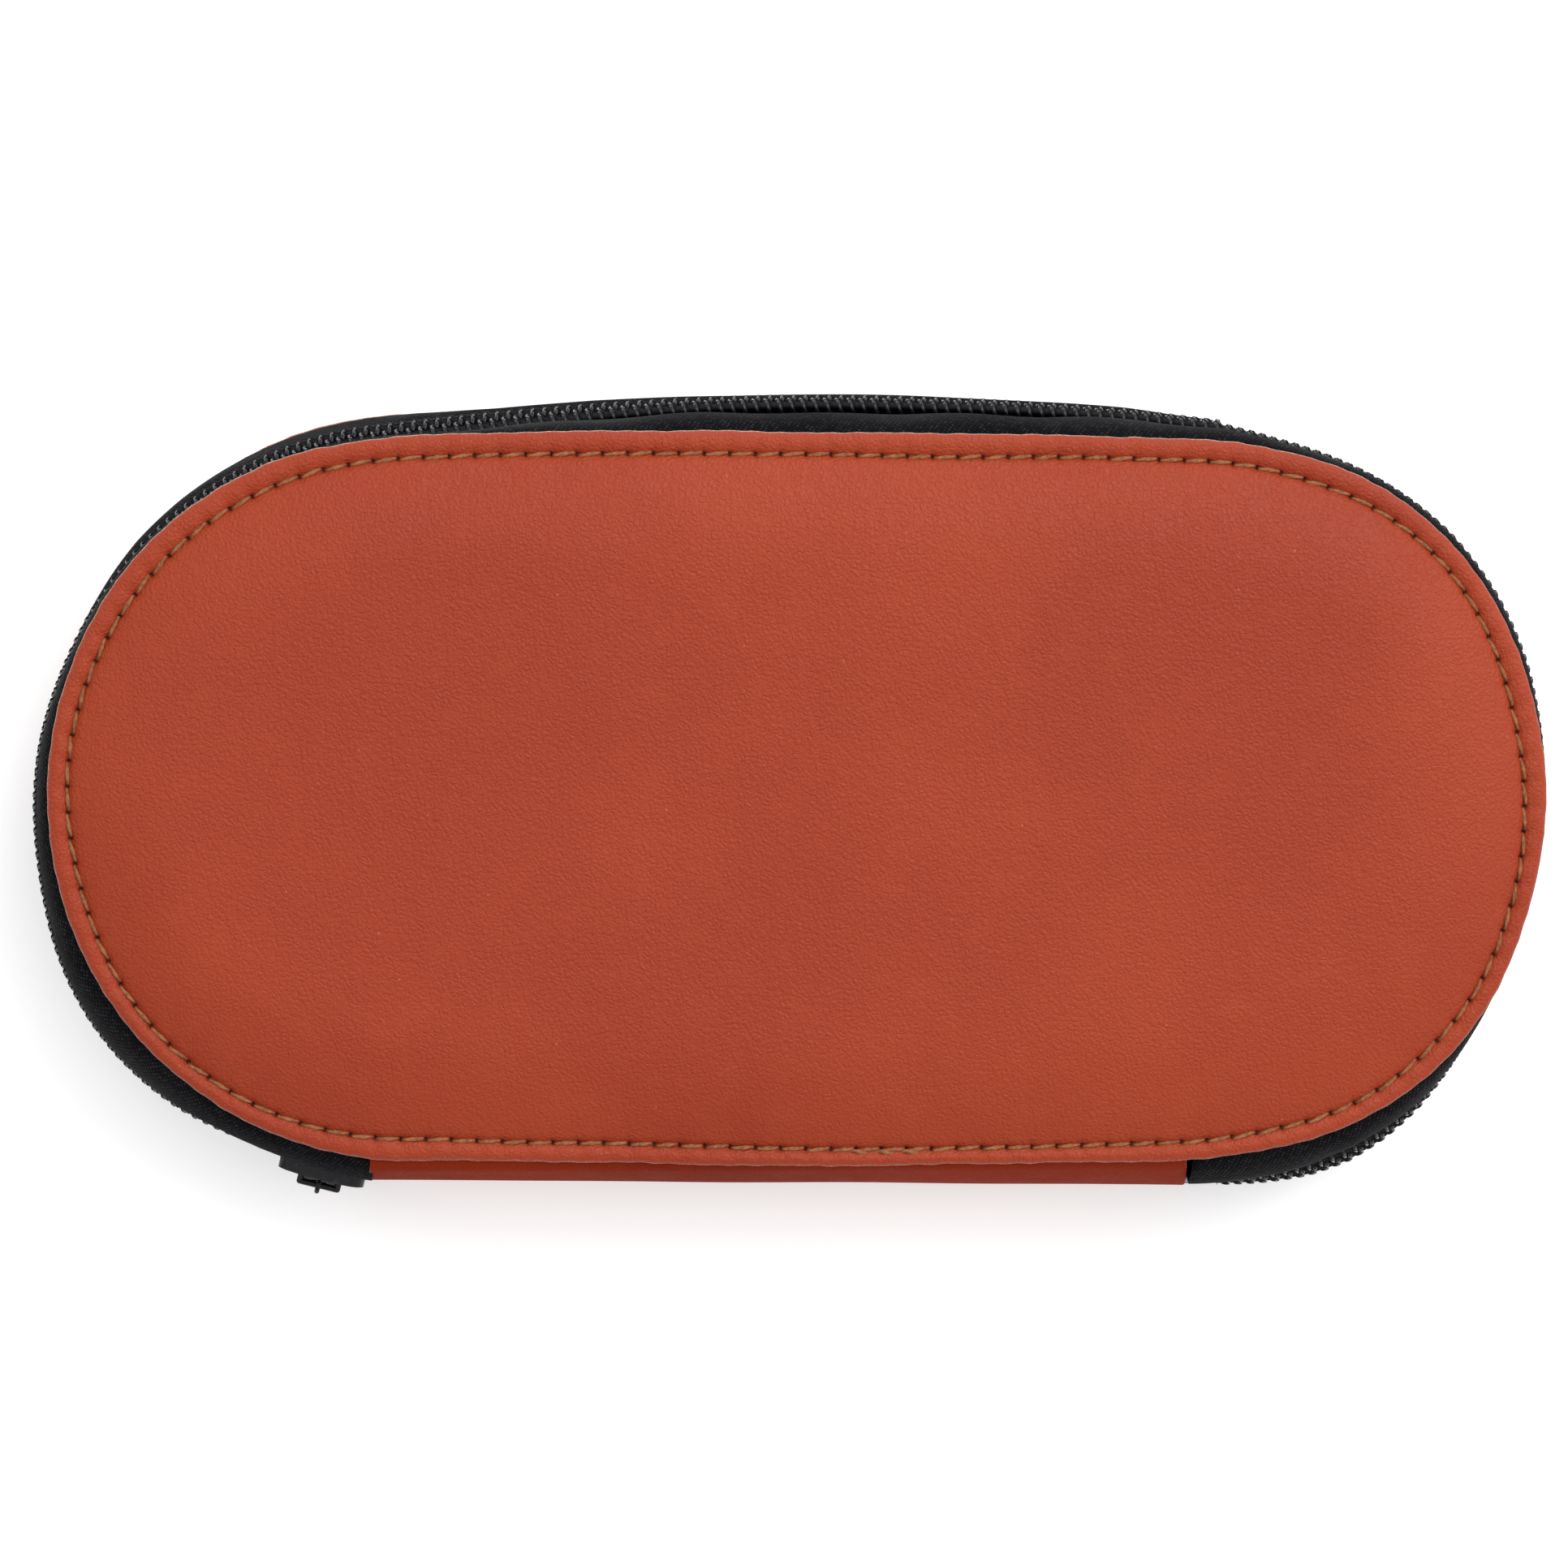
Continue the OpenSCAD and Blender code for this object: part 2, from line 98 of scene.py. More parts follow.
def unevenness(x: np.ndarray, y: np.ndarray, wave: float, seed: int) -> np.ndarray:
    """Gives a gentle repeatable unevenness of about unit height.

    Args:
        x: first coordinates, in mm.
        y: second coordinates, in mm.
        wave: typical wavelength, in mm.
        seed: which unevenness.

    Returns:
        Its height at each place.
    """
    rng = np.random.default_rng(seed)
    total = np.zeros(np.broadcast(x, y).shape)
    for _ in range(7):
        turn, phase, pace = rng.uniform(0, math.tau, 2).tolist() + [rng.uniform(0.7, 1.6)]
        k = math.tau * pace / wave
        total = total + np.sin(k * (x * math.cos(turn) + y * math.sin(turn)) + phase)
    return total / 3.2


def hump(x: np.ndarray, middle: float, wide: float) -> np.ndarray:
    """Gives a bell curve of unit height.

    Args:
        x: the places to read.
        middle: where its top lies.
        wide: how far from there it has fallen to about a third.

    Returns:
        Its height at each place.
    """
    return np.exp(-(((x - middle) / wide) ** 2))


def smooth_line(knots: np.ndarray, count: int) -> np.ndarray:
    """Draws smooth lines through rows of knots.

    Args:
        knots: rows of knots, with one more before each line's start and one after its end.
        count: number of points on each line.

    Returns:
        Rows of points.
    """
    spans = knots.shape[1] - 3
    u = np.linspace(0, spans, count)
    k = np.minimum(u.astype(int), spans - 1)
    t = (u - k)[None, :, None]
    a, b, c, d = (knots[:, k + i] for i in range(4))
    return 0.5 * ((2 * b) + (c - a) * t + (2 * a - 5 * b + 4 * c - d) * t**2 + (3 * b - a - 3 * c + d) * t**3)


def ring_turns(sides: int) -> np.ndarray:
    """Gives even turns round a thread, in radians."""
    return np.arange(sides) / sides * math.tau


def make_mesh(name: str, points: np.ndarray, faces: list, body: Half | str, slots: list,
              index: list | None = None, run: np.ndarray | None = None,
              weld: bool = False) -> bpy.types.Object:
    """Makes a smooth-shaded mesh piece that rides on a body.

    Args:
        name: the piece's name.
        points: vertices, in mm.
        faces: vertex indices of each face.
        body: the body that the piece rides on, or an empty text for a piece that rides on none.
        slots: its materials.
        index: the material index of each face.
        run: for each vertex, its place along and across a cloth or thread, in mm.
        weld: whether vertices in one place are joined.

    Returns:
        The new object.
    """
    mesh = bpy.data.meshes.new(name)
    mesh.from_pydata((np.asarray(points, float) * MM).tolist(), [], faces)
    for slot in slots:
        mesh.materials.append(slot)
    if index is not None:
        mesh.polygons.foreach_set("material_index", np.asarray(index, np.int32))
    if run is not None:
        layer = mesh.attributes.new("run", "FLOAT_VECTOR", "POINT")
        flat = np.zeros((len(points), 3), np.float32)
        flat[:, : run.shape[1]] = run
        layer.data.foreach_set("vector", flat.ravel())
    mesh.polygons.foreach_set("use_smooth", np.ones(len(mesh.polygons), bool))
    mesh.update()
    piece = bpy.data.objects.new(name, mesh)
    bpy.context.scene.collection.objects.link(piece)
    tidy_mesh(mesh, weld)
    if body:
        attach(piece, body.value if isinstance(body, Half) else body)
    return piece


def tidy_mesh(mesh: bpy.types.Mesh, weld: bool) -> None:
    """Points every face outwards and joins doubled vertices.

    Args:
        mesh: the mesh to tidy.
        weld: whether vertices in one place are joined.
    """
    form = bmesh.new()
    form.from_mesh(mesh)
    if weld:
        bmesh.ops.remove_doubles(form, verts=form.verts, dist=WELD_WITHIN)
        bmesh.ops.dissolve_degenerate(form, edges=form.edges, dist=SLIVER)
    bmesh.ops.recalc_face_normals(form, faces=form.faces)
    form.to_mesh(mesh)
    form.free()


def grid_faces(rows: int, cols: int, ring_rows: bool = False, ring_cols: bool = False,
               first: int = 0) -> list:
    """Lists the four-sided faces of a grid of vertices.

    Args:
        rows: number of rows.
        cols: number of vertices in a row.
        ring_rows: whether the last row joins the first.
        ring_cols: whether the last column joins the first.
        first: index of the grid's first vertex.

    Returns:
        The faces.
    """
    r = np.arange(rows if ring_rows else rows - 1)[:, None]
    c = np.arange(cols if ring_cols else cols - 1)[None, :]
    r2, c2 = (r + 1) % rows, (c + 1) % cols
    quads = np.stack([r * cols + c, r * cols + c2, r2 * cols + c2, r2 * cols + c], -1)
    return (quads.reshape(-1, 4) + first).tolist()


def tube_faces(rows: int, cols: int, first: int = 0) -> list:
    """Lists the faces of a tube with closed ends.

    Args:
        rows: number of rings.
        cols: number of vertices in a ring.
        first: index of the tube's first vertex.

    Returns:
        The faces.
    """
    last = first + (rows - 1) * cols
    ends = [[first + i for i in range(cols)][::-1], [last + i for i in range(cols)]]
    return grid_faces(rows, cols, ring_cols=True, first=first) + ends


def band_faces(rows: int, cols: int) -> list:
    """Lists the faces of a flat band, whose section goes there on one side and back on the other.

    Args:
        rows: number of sections.
        cols: number of vertices in a section.

    Returns:
        The faces, with both ends closed.
    """
    faces = grid_faces(rows, cols, ring_cols=True)
    for row in (0, rows - 1):
        near, far = row * cols, row * cols + cols - 1
        faces += [[near + i, near + i + 1, far - 1 - i, far - i] for i in range(cols // 2 - 1)]
    return faces


def rim_faces(rows: int, cols: int) -> list:
    """Lists the faces that join the borders of two equal grids, of which one follows the other."""
    both = rows * cols
    rim = [i * cols for i in range(rows)] + [(rows - 1) * cols + j for j in range(1, cols)]
    rim += [i * cols + cols - 1 for i in range(rows - 2, -1, -1)] + list(range(cols - 2, 0, -1))
    return [[p, q, q + both, p + both] for p, q in zip(rim, rim[1:] + rim[:1])]


def sharpen(piece: bpy.types.Object, angle: float = 40.0) -> None:
    """Keeps creases over an angle crisp.

    Args:
        piece: the piece to treat.
        angle: the least crease angle, in degrees.
    """
    form = bmesh.new()
    form.from_mesh(piece.data)
    for edge in form.edges:
        if len(edge.link_faces) == 2 and edge.calc_face_angle(0) > math.radians(angle):
            edge.smooth = False
    form.to_mesh(piece.data)
    form.free()


def refinish(node: str, material: bpy.types.Material) -> None:
    """Gives a node of the frame a material of its own."""
    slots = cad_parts[node].data.materials
    slots.clear()
    slots.append(material)


# ---------------------------------------------------------------- finishes


class Shader:
    """A material's node tree, with short methods for the nodes that the finishes use."""

    def __init__(self, name: str) -> None:
        """Starts a material.

        Args:
            name: the material's name.
        """
        self.material = bpy.data.materials.new(name)
        self.material.use_nodes = True
        self.tree = self.material.node_tree
        self.tree.nodes.clear()
        self.surface = self.node("ShaderNodeBsdfPrincipled")
        out = self.node("ShaderNodeOutputMaterial")
        self.link(self.surface.outputs[0], out.inputs[0])

    def node(self, kind: str, **settings: object) -> bpy.types.Node:
        """Adds a node.

        Args:
            kind: Blender's name of the node.
            settings: its properties.

        Returns:
            The node.
        """
        made = self.tree.nodes.new(kind)
        for key, value in settings.items():
            setattr(made, key, value)
        return made

    def link(self, source: object, target: object) -> None:
        """Joins two sockets."""
        self.tree.links.new(source, target)

    def feed(self, socket: object, value: object) -> None:
        """Sets a socket to a number or colour, or joins it to another socket."""
        if isinstance(value, bpy.types.NodeSocket):
            self.link(value, socket)
        else:
            socket.default_value = value

    def place(self) -> object:
        """Gives the surface's place on the object, in metres."""
        return self.node("ShaderNodeTexCoord").outputs["Object"]

    def run(self) -> object:
        """Gives the place along and across a cloth or thread, in mm."""
        return self.node("ShaderNodeAttribute", attribute_name="run").outputs["Vector"]

    def spread(self, vector: object, scale: tuple) -> object:
        """Scales a vector along each axis."""
        made = self.node("ShaderNodeMapping")
        self.link(vector, made.inputs["Vector"])
        made.inputs["Scale"].default_value = scale
        return made.outputs[0]

    def noise(self, vector: object, scale: float, detail: float = 2.0, rough: float = 0.5) -> object:
        """Adds a noise.

        Args:
            vector: where it is read.
            scale: its scale.
            detail: its finer layers.
            rough: how strong the finer layers are.

        Returns:
            The noise's height socket.
        """
        made = self.node("ShaderNodeTexNoise")
        self.link(vector, made.inputs["Vector"])
        made.inputs["Scale"].default_value = scale
        made.inputs["Detail"].default_value = detail
        made.inputs["Roughness"].default_value = rough
        return made.outputs[0]

    def cells(self, vector: object, scale: float, edges: bool = False) -> object:
        """Adds a cell pattern, as the distance to its cells' middles or edges."""
        made = self.node("ShaderNodeTexVoronoi", feature="DISTANCE_TO_EDGE" if edges else "F1")
        self.link(vector, made.inputs["Vector"])
        made.inputs["Scale"].default_value = scale
        return made.outputs["Distance"]

    def waves(self, vector: object, scale: float, axis: str, shift: float = 0.0) -> object:
        """Adds straight sine waves across an axis; a scale of 1 is one wave in pi / 10 of a unit."""
        made = self.node("ShaderNodeTexWave", wave_type="BANDS", bands_direction=axis, wave_profile="SIN")
        self.link(vector, made.inputs["Vector"])
        made.inputs["Scale"].default_value = scale
        made.inputs["Distortion"].default_value = shift
        made.inputs["Detail"].default_value = 1.0
        return made.outputs["Fac"]

    def sum(self, kind: str, a: object, b: object, clamp: bool = False) -> object:
        """Combines two values by a Math node of the given kind."""
        made = self.node("ShaderNodeMath", operation=kind, use_clamp=clamp)
        self.feed(made.inputs[0], a)
        self.feed(made.inputs[1], b)
        return made.outputs[0]

    def ramp(self, value: object, low: float, high: float, start: float, end: float) -> object:
        """Maps a value from one range to another, held at its ends."""
        made = self.node("ShaderNodeMapRange", interpolation_type="SMOOTHSTEP")
        self.link(value, made.inputs["Value"])
        for key, number in (("From Min", low), ("From Max", high), ("To Min", start), ("To Max", end)):
            made.inputs[key].default_value = number
        return made.outputs[0]

    def blend(self, share: object, a: object, b: object) -> object:
        """Mixes two colours by a share."""
        made = self.node("ShaderNodeMix", data_type="RGBA")
        self.feed(made.inputs["Factor"], share)
        self.feed(made.inputs[6], a)
        self.feed(made.inputs[7], b)
        return made.outputs[2]

    def raise_by(self, heights: list) -> None:
        """Sets the surface's bump.

        Args:
            heights: pairs of a height socket and its depth in metres, the broadest first.
        """
        last = None
        for height, depth in heights:
            bump = self.node("ShaderNodeBump")
            bump.inputs["Strength"].default_value = 1.0
            bump.inputs["Distance"].default_value = depth
            self.link(height, bump.inputs["Height"])
            if last is not None:
                self.link(last, bump.inputs["Normal"])
            last = bump.outputs[0]
        self.link(last, self.surface.inputs["Normal"])

    def put(self, key: str, value: object) -> None:
        """Sets a socket of the surface by its name."""
        self.feed(self.surface.inputs[key], value)


@dataclass(frozen=True)
class SmoothLeather:
    """Smooth coated leather with fine pores, faint creases and a soft satin gloss, and painted shade
    darkening its needle holes.
    """

    name: str
    colour: tuple = (0.336, 0.0405, 0.0112, 1)
    deep: tuple = (0.300, 0.0325, 0.0085, 1)
    pale: tuple = (0.395, 0.062, 0.0195, 1)
    speck: tuple = (0.55, 0.20, 0.12, 1)
    # The dark colour painted into needle holes as painted shade.
    hole: tuple = (0.035, 0.008, 0.004, 1)
    gloss: float = 0.43
    shine: float = 0.24

    def build(self) -> bpy.types.Material:
        """Makes the material."""
        s = Shader(self.name)
        place = s.place()
        broad = s.noise(place, 22, 3)
        mottle = s.noise(place, 260, 4, 0.6)
        base = s.blend(s.ramp(broad, 0.35, 0.68, 0, 1), self.deep, self.colour)
        base = s.blend(s.ramp(mottle, 0.45, 0.85, 0, 0.25), base, self.pale)
        specks = s.ramp(s.cells(place, 240), 0.015, 0.045, 0.4, 0)
        base = s.blend(specks, base, self.speck)
        # Painted shade: needle holes are darkened towards the hole colour by the pit marks carried in the run
        # attribute.
        pit = s.node("ShaderNodeSeparateXYZ")
        s.link(s.run(), pit.inputs[0])
        s.put("Base Color", s.blend(s.ramp(pit.outputs[0], 0.1, 0.7, 0, 0.92), base, self.hole))
        pores = s.cells(place, 2600)
        grain = s.cells(place, 1500, edges=True)
        creases = s.noise(s.spread(place, (1, 0.30, 1)), 620, 3, 0.6)
        s.put("Roughness", s.ramp(mottle, 0.3, 0.7, self.gloss - 0.05, self.gloss + 0.07))
        s.put("Specular IOR Level", self.shine)
        s.raise_by([(creases, 0.00010), (s.ramp(grain, 0, 0.22, 0, 1), 0.000040), (pores, 0.00007)])
        return s.material


@dataclass(frozen=True)
class RawEdge:
    """The pale knitted backing that shows where coated leather is cut."""

    name: str = "raw_edge"
    shade: tuple = (0.26, 0.12, 0.085, 1)
    light: tuple = (0.60, 0.45, 0.38, 1)

    def build(self) -> bpy.types.Material:
        """Makes the material."""
        s = Shader(self.name)
        fluff = s.noise(s.place(), 2400, 3, 0.7)
        s.put("Base Color", s.blend(s.ramp(fluff, 0.35, 0.7, 0, 1), self.shade, self.light))
        s.put("Roughness", 0.9)
        s.raise_by([(fluff, 0.00012)])
        return s.material


@dataclass(frozen=True)
class WovenCloth:
    """Plain or twill woven cloth, read along the piece's own run."""

    name: str
    light: tuple = (0.0270, 0.0270, 0.0330, 1)
    dark: tuple = (0.0014, 0.0014, 0.0020, 1)
    pick: float = 0.50
    end: float = 0.40
    depth: float = 0.00012
    slant: float = 33.0
    sheen: float = 0.008
    shine: float = 0.07
    wobble: float = 0.6
    sheen_tint: tuple = (0.55, 0.57, 0.66, 1)

    def build(self) -> bpy.types.Material:
        """Makes the material."""
        s = Shader(self.name)
        run = s.run()
        turned = s.node("ShaderNodeMapping")
        s.link(run, turned.inputs["Vector"])
        turned.inputs["Rotation"].default_value = (0, 0, math.radians(self.slant))
        lengthwise = s.waves(turned.outputs[0], math.pi / 10 / self.pick, "X", self.wobble)
        across = s.waves(turned.outputs[0], math.pi / 10 / self.end, "Y", self.wobble)
        weave = s.sum("MULTIPLY", lengthwise, across)
        fuzz = s.noise(s.place(), 1500, 3, 0.7)
        wear = s.noise(s.place(), 70, 2)
        threads, fluff = s.ramp(weave, 0.05, 0.75, 0.08, 1), s.ramp(fuzz, 0.42, 0.66, 0.06, 1.1)
        share = s.sum("MULTIPLY", threads, fluff, clamp=True)
        s.put("Base Color", s.blend(share, self.dark, self.light))
        s.put("Roughness", s.ramp(wear, 0.3, 0.7, 0.68, 0.86))
        s.put("Specular IOR Level", self.shine)
        s.put("Sheen Weight", self.sheen)
        s.put("Sheen Roughness", 0.4)
        s.put("Sheen Tint", self.sheen_tint)
        s.raise_by([(weave, self.depth), (fuzz, 0.00004)])
        return s.material


@dataclass(frozen=True)
class MouldedNylon:
    """Glossy black nylon of the coil, with faint drawing marks along it."""

    name: str = "coil_nylon"
    dark: tuple = (0.0035, 0.0035, 0.0048, 1)
    light: tuple = (0.0085, 0.0090, 0.0115, 1)

    def build(self) -> bpy.types.Material:
        """Makes the material."""
        s = Shader(self.name)
        marks = s.noise(s.place(), 900, 2)
        s.put("Base Color", s.blend(s.ramp(marks, 0.3, 0.7, 0, 1), self.dark, self.light))
        s.put("Roughness", s.ramp(marks, 0.3, 0.7, 0.17, 0.30))
        s.put("Specular IOR Level", 0.36)
        s.raise_by([(marks, 0.00002)])
        return s.material


@dataclass(frozen=True)
class TwistedThread:
    """Two-ply sewing thread, whose fine fibres follow the twist."""

    name: str
    light: tuple = (0.60, 0.235, 0.098, 1)
    dark: tuple = (0.110, 0.032, 0.013, 1)
    shine: float = 0.3

    def build(self) -> bpy.types.Material:
        """Makes the material."""
        s = Shader(self.name)
        fibres = s.waves(s.run(), 3.2, "DIAGONAL", 1.0)
        fuzz = s.noise(s.place(), 1600, 3, 0.6)
        twist, fluff = s.ramp(fibres, 0, 1, 0.45, 1), s.ramp(fuzz, 0.3, 0.7, 0.45, 1.1)
        share = s.sum("MULTIPLY", twist, fluff, clamp=True)
        s.put("Base Color", s.blend(share, self.dark, self.light))
        s.put("Roughness", 0.6)
        s.put("Specular IOR Level", self.shine)
        s.raise_by([(fibres, 0.00006), (fuzz, 0.00003)])
        return s.material


@dataclass(frozen=True)
class LacqueredMetal:
    """Dark lacquered zinc, slightly uneven, with rubbed brighter patches."""

    name: str = "zip_metal_lacquer"
    dark: tuple = (0.010, 0.010, 0.012, 1)
    rubbed: tuple = (0.050, 0.050, 0.054, 1)

    def build(self) -> bpy.types.Material:
        """Makes the material."""
        s = Shader(self.name)
        place = s.place()
        rub = s.noise(place, 420, 4, 0.6)
        s.put("Base Color", s.blend(s.ramp(rub, 0.55, 0.75, 0, 1), self.dark, self.rubbed))
        s.put("Metallic", s.ramp(rub, 0.5, 0.75, 0.55, 0.95))
        s.put("Roughness", s.ramp(rub, 0.3, 0.7, 0.24, 0.4))
        s.raise_by([(s.noise(place, 1500, 2), 0.00003)])
        return s.material


@dataclass(frozen=True)
class GreyBoard:
    """Stiff grey-brown board of pressed fibres."""

    name: str = "stiff_board"
    dark: tuple = (0.30, 0.24, 0.17, 1)
    light: tuple = (0.50, 0.43, 0.33, 1)

    def build(self) -> bpy.types.Material:
        """Makes the material."""
        s = Shader(self.name)
        fibre = s.noise(s.spread(s.place(), (1, 4, 1)), 700, 5, 0.65)
        s.put("Base Color", s.blend(s.ramp(fibre, 0.3, 0.7, 0, 1), self.dark, self.light))
        s.put("Roughness", 0.88)
        s.raise_by([(fibre, 0.00006)])
        return s.material


# The hinge strip's leather is the panels' leather, coloured darker as painted shade because the strip faces
# away from the light.
SHADED_STRIP_LEATHER = SmoothLeather("strip_leather", colour=(0.235, 0.0225, 0.0060, 1),
                              deep=(0.195, 0.0180, 0.0045, 1), pale=(0.28, 0.034, 0.010, 1),
                              gloss=0.72, shine=0.03)
LINING_WEAVE = WovenCloth("lining_weave", light=(0.034, 0.034, 0.038, 1), dark=(0.008, 0.008, 0.010, 1),
                          pick=0.5, end=0.5, depth=0.00007, slant=45.0, sheen=0.3)
ELASTIC_WEAVE = WovenCloth("elastic_weave", light=(0.032, 0.032, 0.036, 1), dark=(0.005, 0.005, 0.006, 1),
                           pick=0.7, end=1.1, depth=0.00016, slant=0.0)
BINDING_WEAVE = WovenCloth("binding_weave", light=(0.040, 0.040, 0.045, 1), dark=(0.006, 0.006, 0.008, 1),
                           pick=0.8, end=0.6, depth=0.00014, slant=0.0)
BLACK_THREAD = TwistedThread("black_thread", light=(0.020, 0.020, 0.025, 1), dark=(0.0015, 0.0015, 0.002, 1),
                             shine=0.12)


@dataclass
class Finishes:
    """Every finish of the case, made once."""

    leather: bpy.types.Material = field(default_factory=SmoothLeather("panel_leather").build)
    # The strip's leather, coloured darker as painted shade.
    strip: bpy.types.Material = field(default_factory=SHADED_STRIP_LEATHER.build)
    edge: bpy.types.Material = field(default_factory=RawEdge().build)
    tape: bpy.types.Material = field(default_factory=WovenCloth("tape_weave").build)
    lining: bpy.types.Material = field(default_factory=LINING_WEAVE.build)
    elastic: bpy.types.Material = field(default_factory=ELASTIC_WEAVE.build)
    binding: bpy.types.Material = field(default_factory=BINDING_WEAVE.build)
    nylon: bpy.types.Material = field(default_factory=MouldedNylon().build)
    thread: bpy.types.Material = field(default_factory=TwistedThread("tan_thread").build)
    black_thread: bpy.types.Material = field(default_factory=BLACK_THREAD.build)
    metal: bpy.types.Material = field(default_factory=LacqueredMetal().build)
    board: bpy.types.Material = field(default_factory=GreyBoard().build)


# ---------------------------------------------------------------- forms of the case


@dataclass
class SoftLean:
    """How the soft back half has slumped under the front one: up and to the left at the upper left."""

    shift_x: float = -0.3
    shift_y: float = 2.95

    def of(self, x: np.ndarray, y: np.ndarray, z: np.ndarray) -> tuple:
        """Gives the slump at some places.

        Args:
            x: places along the case.
            y: places across it.
            z: heights; only the back half, below the middle, moves.

        Returns:
            The shift along the case and the shift across it.
        """
        share = smooth(-12, -48, x) * smooth(0, 41, y) * np.clip((MIDDLE - z) / MIDDLE, 0, 1)
        return self.shift_x * share, self.shift_y * share


LEAN = SoftLean()


@dataclass
class PanelOutline:
    """The stadium outline of both panels."""

    radius: float = 43.5
    centre_x: float = 45.6
    pace_radius: float = 40.9
    easing: tuple = (-0.008, -0.004, 0.0, 0.004, 0.008)
    wander: tuple = ((0.000, 0.63), (0.027, 0.65), (0.045, 0.50), (0.082, 0.48), (0.100, 0.40),
                     (0.120, 0.17), (0.125, 0.18), (0.135, 0.57), (0.146, 1.05), (0.160, 1.40),
                     (0.167, 1.46), (0.190, 1.28), (0.200, 0.95), (0.210, 0.53), (0.222, 0.24),
                     (0.240, 0.11), (0.250, 0.10), (0.271, -0.17), (0.310, 0.34), (0.326, 0.27),
                     (0.344, 0.00), (0.354, -0.33), (0.365, -0.77), (0.377, -1.04), (0.393, -1.09),
                     (0.406, -0.97), (0.420, -0.70), (0.448, -0.45), (0.510, -0.28), (0.531, -0.10),
                     (0.575, -0.32), (0.592, -0.50), (0.604, -0.81), (0.616, -0.86), (0.626, -0.70),
                     (0.640, -0.32), (0.655, -0.03), (0.675, 0.26), (0.688, 0.34), (0.700, 0.32),
                     (0.708, 0.26), (0.729, 0.37), (0.750, 0.27), (0.760, 0.18), (0.802, 0.24),
                     (0.854, -0.11), (0.875, -0.15), (0.890, -0.43), (0.900, -0.54), (0.918, -0.26),
                     (0.955, 0.05), (0.973, 0.40), (0.991, 0.60))
    seam_out: tuple = ((0.0, 0.50), (0.021, 0.60), (0.042, 0.65), (0.062, 0.65), (0.083, 0.45),
                       (0.104, 0.30), (0.125, 0.30), (0.146, 0.35), (0.167, 0.15), (0.188, 0.25),
                       (0.208, 0.35), (0.229, 0.25), (0.250, -0.20), (0.271, -0.25), (0.292, -0.10),
                       (0.312, 0.10), (0.333, 0.05), (0.354, -0.15), (0.375, 0.0), (0.417, 0.0),
                       (0.438, -0.10), (0.458, -0.30), (0.479, -0.15), (0.500, 0.0), (0.521, -0.15),
                       (0.542, -0.10), (0.604, -0.05), (0.625, 0.0), (0.646, -0.20), (0.688, -0.20),
                       (0.708, 0.10), (0.729, 0.25), (0.750, 0.25), (0.771, 0.12), (0.792, 0.25),
                       (0.812, 0.50), (0.833, 0.45), (0.854, 0.40), (0.875, 0.0), (0.896, 0.0),
                       (0.917, 0.25), (0.938, 0.22), (0.958, 0.30), (0.979, 0.30))

    def drift(self, share: np.ndarray) -> np.ndarray:
        """Gives how far the soft front rim lies outside the even outline."""
        return self.eased(self.wander, share)

    def seam_drift(self, share: np.ndarray) -> np.ndarray:
        """Gives how far the front seam lies outside its even place in the rim."""
        return self.eased(self.seam_out, share)

    def eased(self, table: tuple, share: np.ndarray) -> np.ndarray:
        """Reads a table of places round the outline, with its corners eased.

        Args:
            table: pairs of how far round, from 0 to 1, and a distance in mm.
            share: how far round.

        Returns:
            The distances, in mm.
        """
        knots = np.array(table)
        x = np.concatenate([knots[:, 0] - 1, knots[:, 0], knots[:, 0] + 1])
        y = np.tile(knots[:, 1], 3)
        s = np.asarray(share, float) % 1.0
        return np.mean([np.interp(s + off, x, y) for off in self.easing], 0)

    def share_of(self, points: np.ndarray) -> np.ndarray:
        """Gives how far round the outline points lie, from the bottom's middle to the right."""
        c, r = self.centre_x, self.pace_radius
        x, y = points[..., 0], points[..., 1]
        arc, whole = math.pi * r, self.length(r)
        right = c + r * (np.arctan2(y, x - c) + math.pi / 2)
        left = 3 * c + arc + r * ((np.arctan2(y, x + c) % math.tau) - math.pi / 2)
        flat = np.where(y > 0, c + arc + (c - x), np.where(x >= 0, x, whole + x))
        return np.where(x > c, right, np.where(x < -c, left, flat)) / whole

    def around(self, share: np.ndarray, at_radius: float) -> tuple:
        """Walks round the outline at an even pace at one radius, from the bottom's middle to the right.

        Args:
            share: how far round, from 0 to 1.
            at_radius: the radius at which the pace is even.

        Returns:
            The nearest points of the line between the round ends' centres, and the outward directions.
        """
        c, r = self.centre_x, at_radius
        s = (share % 1.0) * self.length(r)
        arc = math.pi * r
        knots = np.cumsum([0, c, arc, 2 * c, arc])
        passed = [s >= knot for knot in knots[:0:-1]]
        quarter = math.pi / 2
        foot = np.select(passed, [-c + (s - knots[4]), -c, c - (s - knots[2]), c], s)
        left, right = quarter + (s - knots[3]) / r, -quarter + (s - knots[1]) / r
        turn = np.select(passed, [-quarter, left, quarter, right], -quarter)
        return np.stack([foot, np.zeros(s.shape)], -1), np.stack([np.cos(turn), np.sin(turn)], -1)

    def length(self, at_radius: float) -> float:
        """Gives the outline's length at a radius."""
        return 2 * math.pi * at_radius + 4 * self.centre_x

    def outside(self, points: np.ndarray) -> np.ndarray:
        """Gives how far points lie outside the panel's edge."""
        foot = np.clip(points[..., 0], -self.centre_x, self.centre_x)
        return np.hypot(points[..., 0] - foot, points[..., 1]) - self.radius


OUTLINE = PanelOutline()


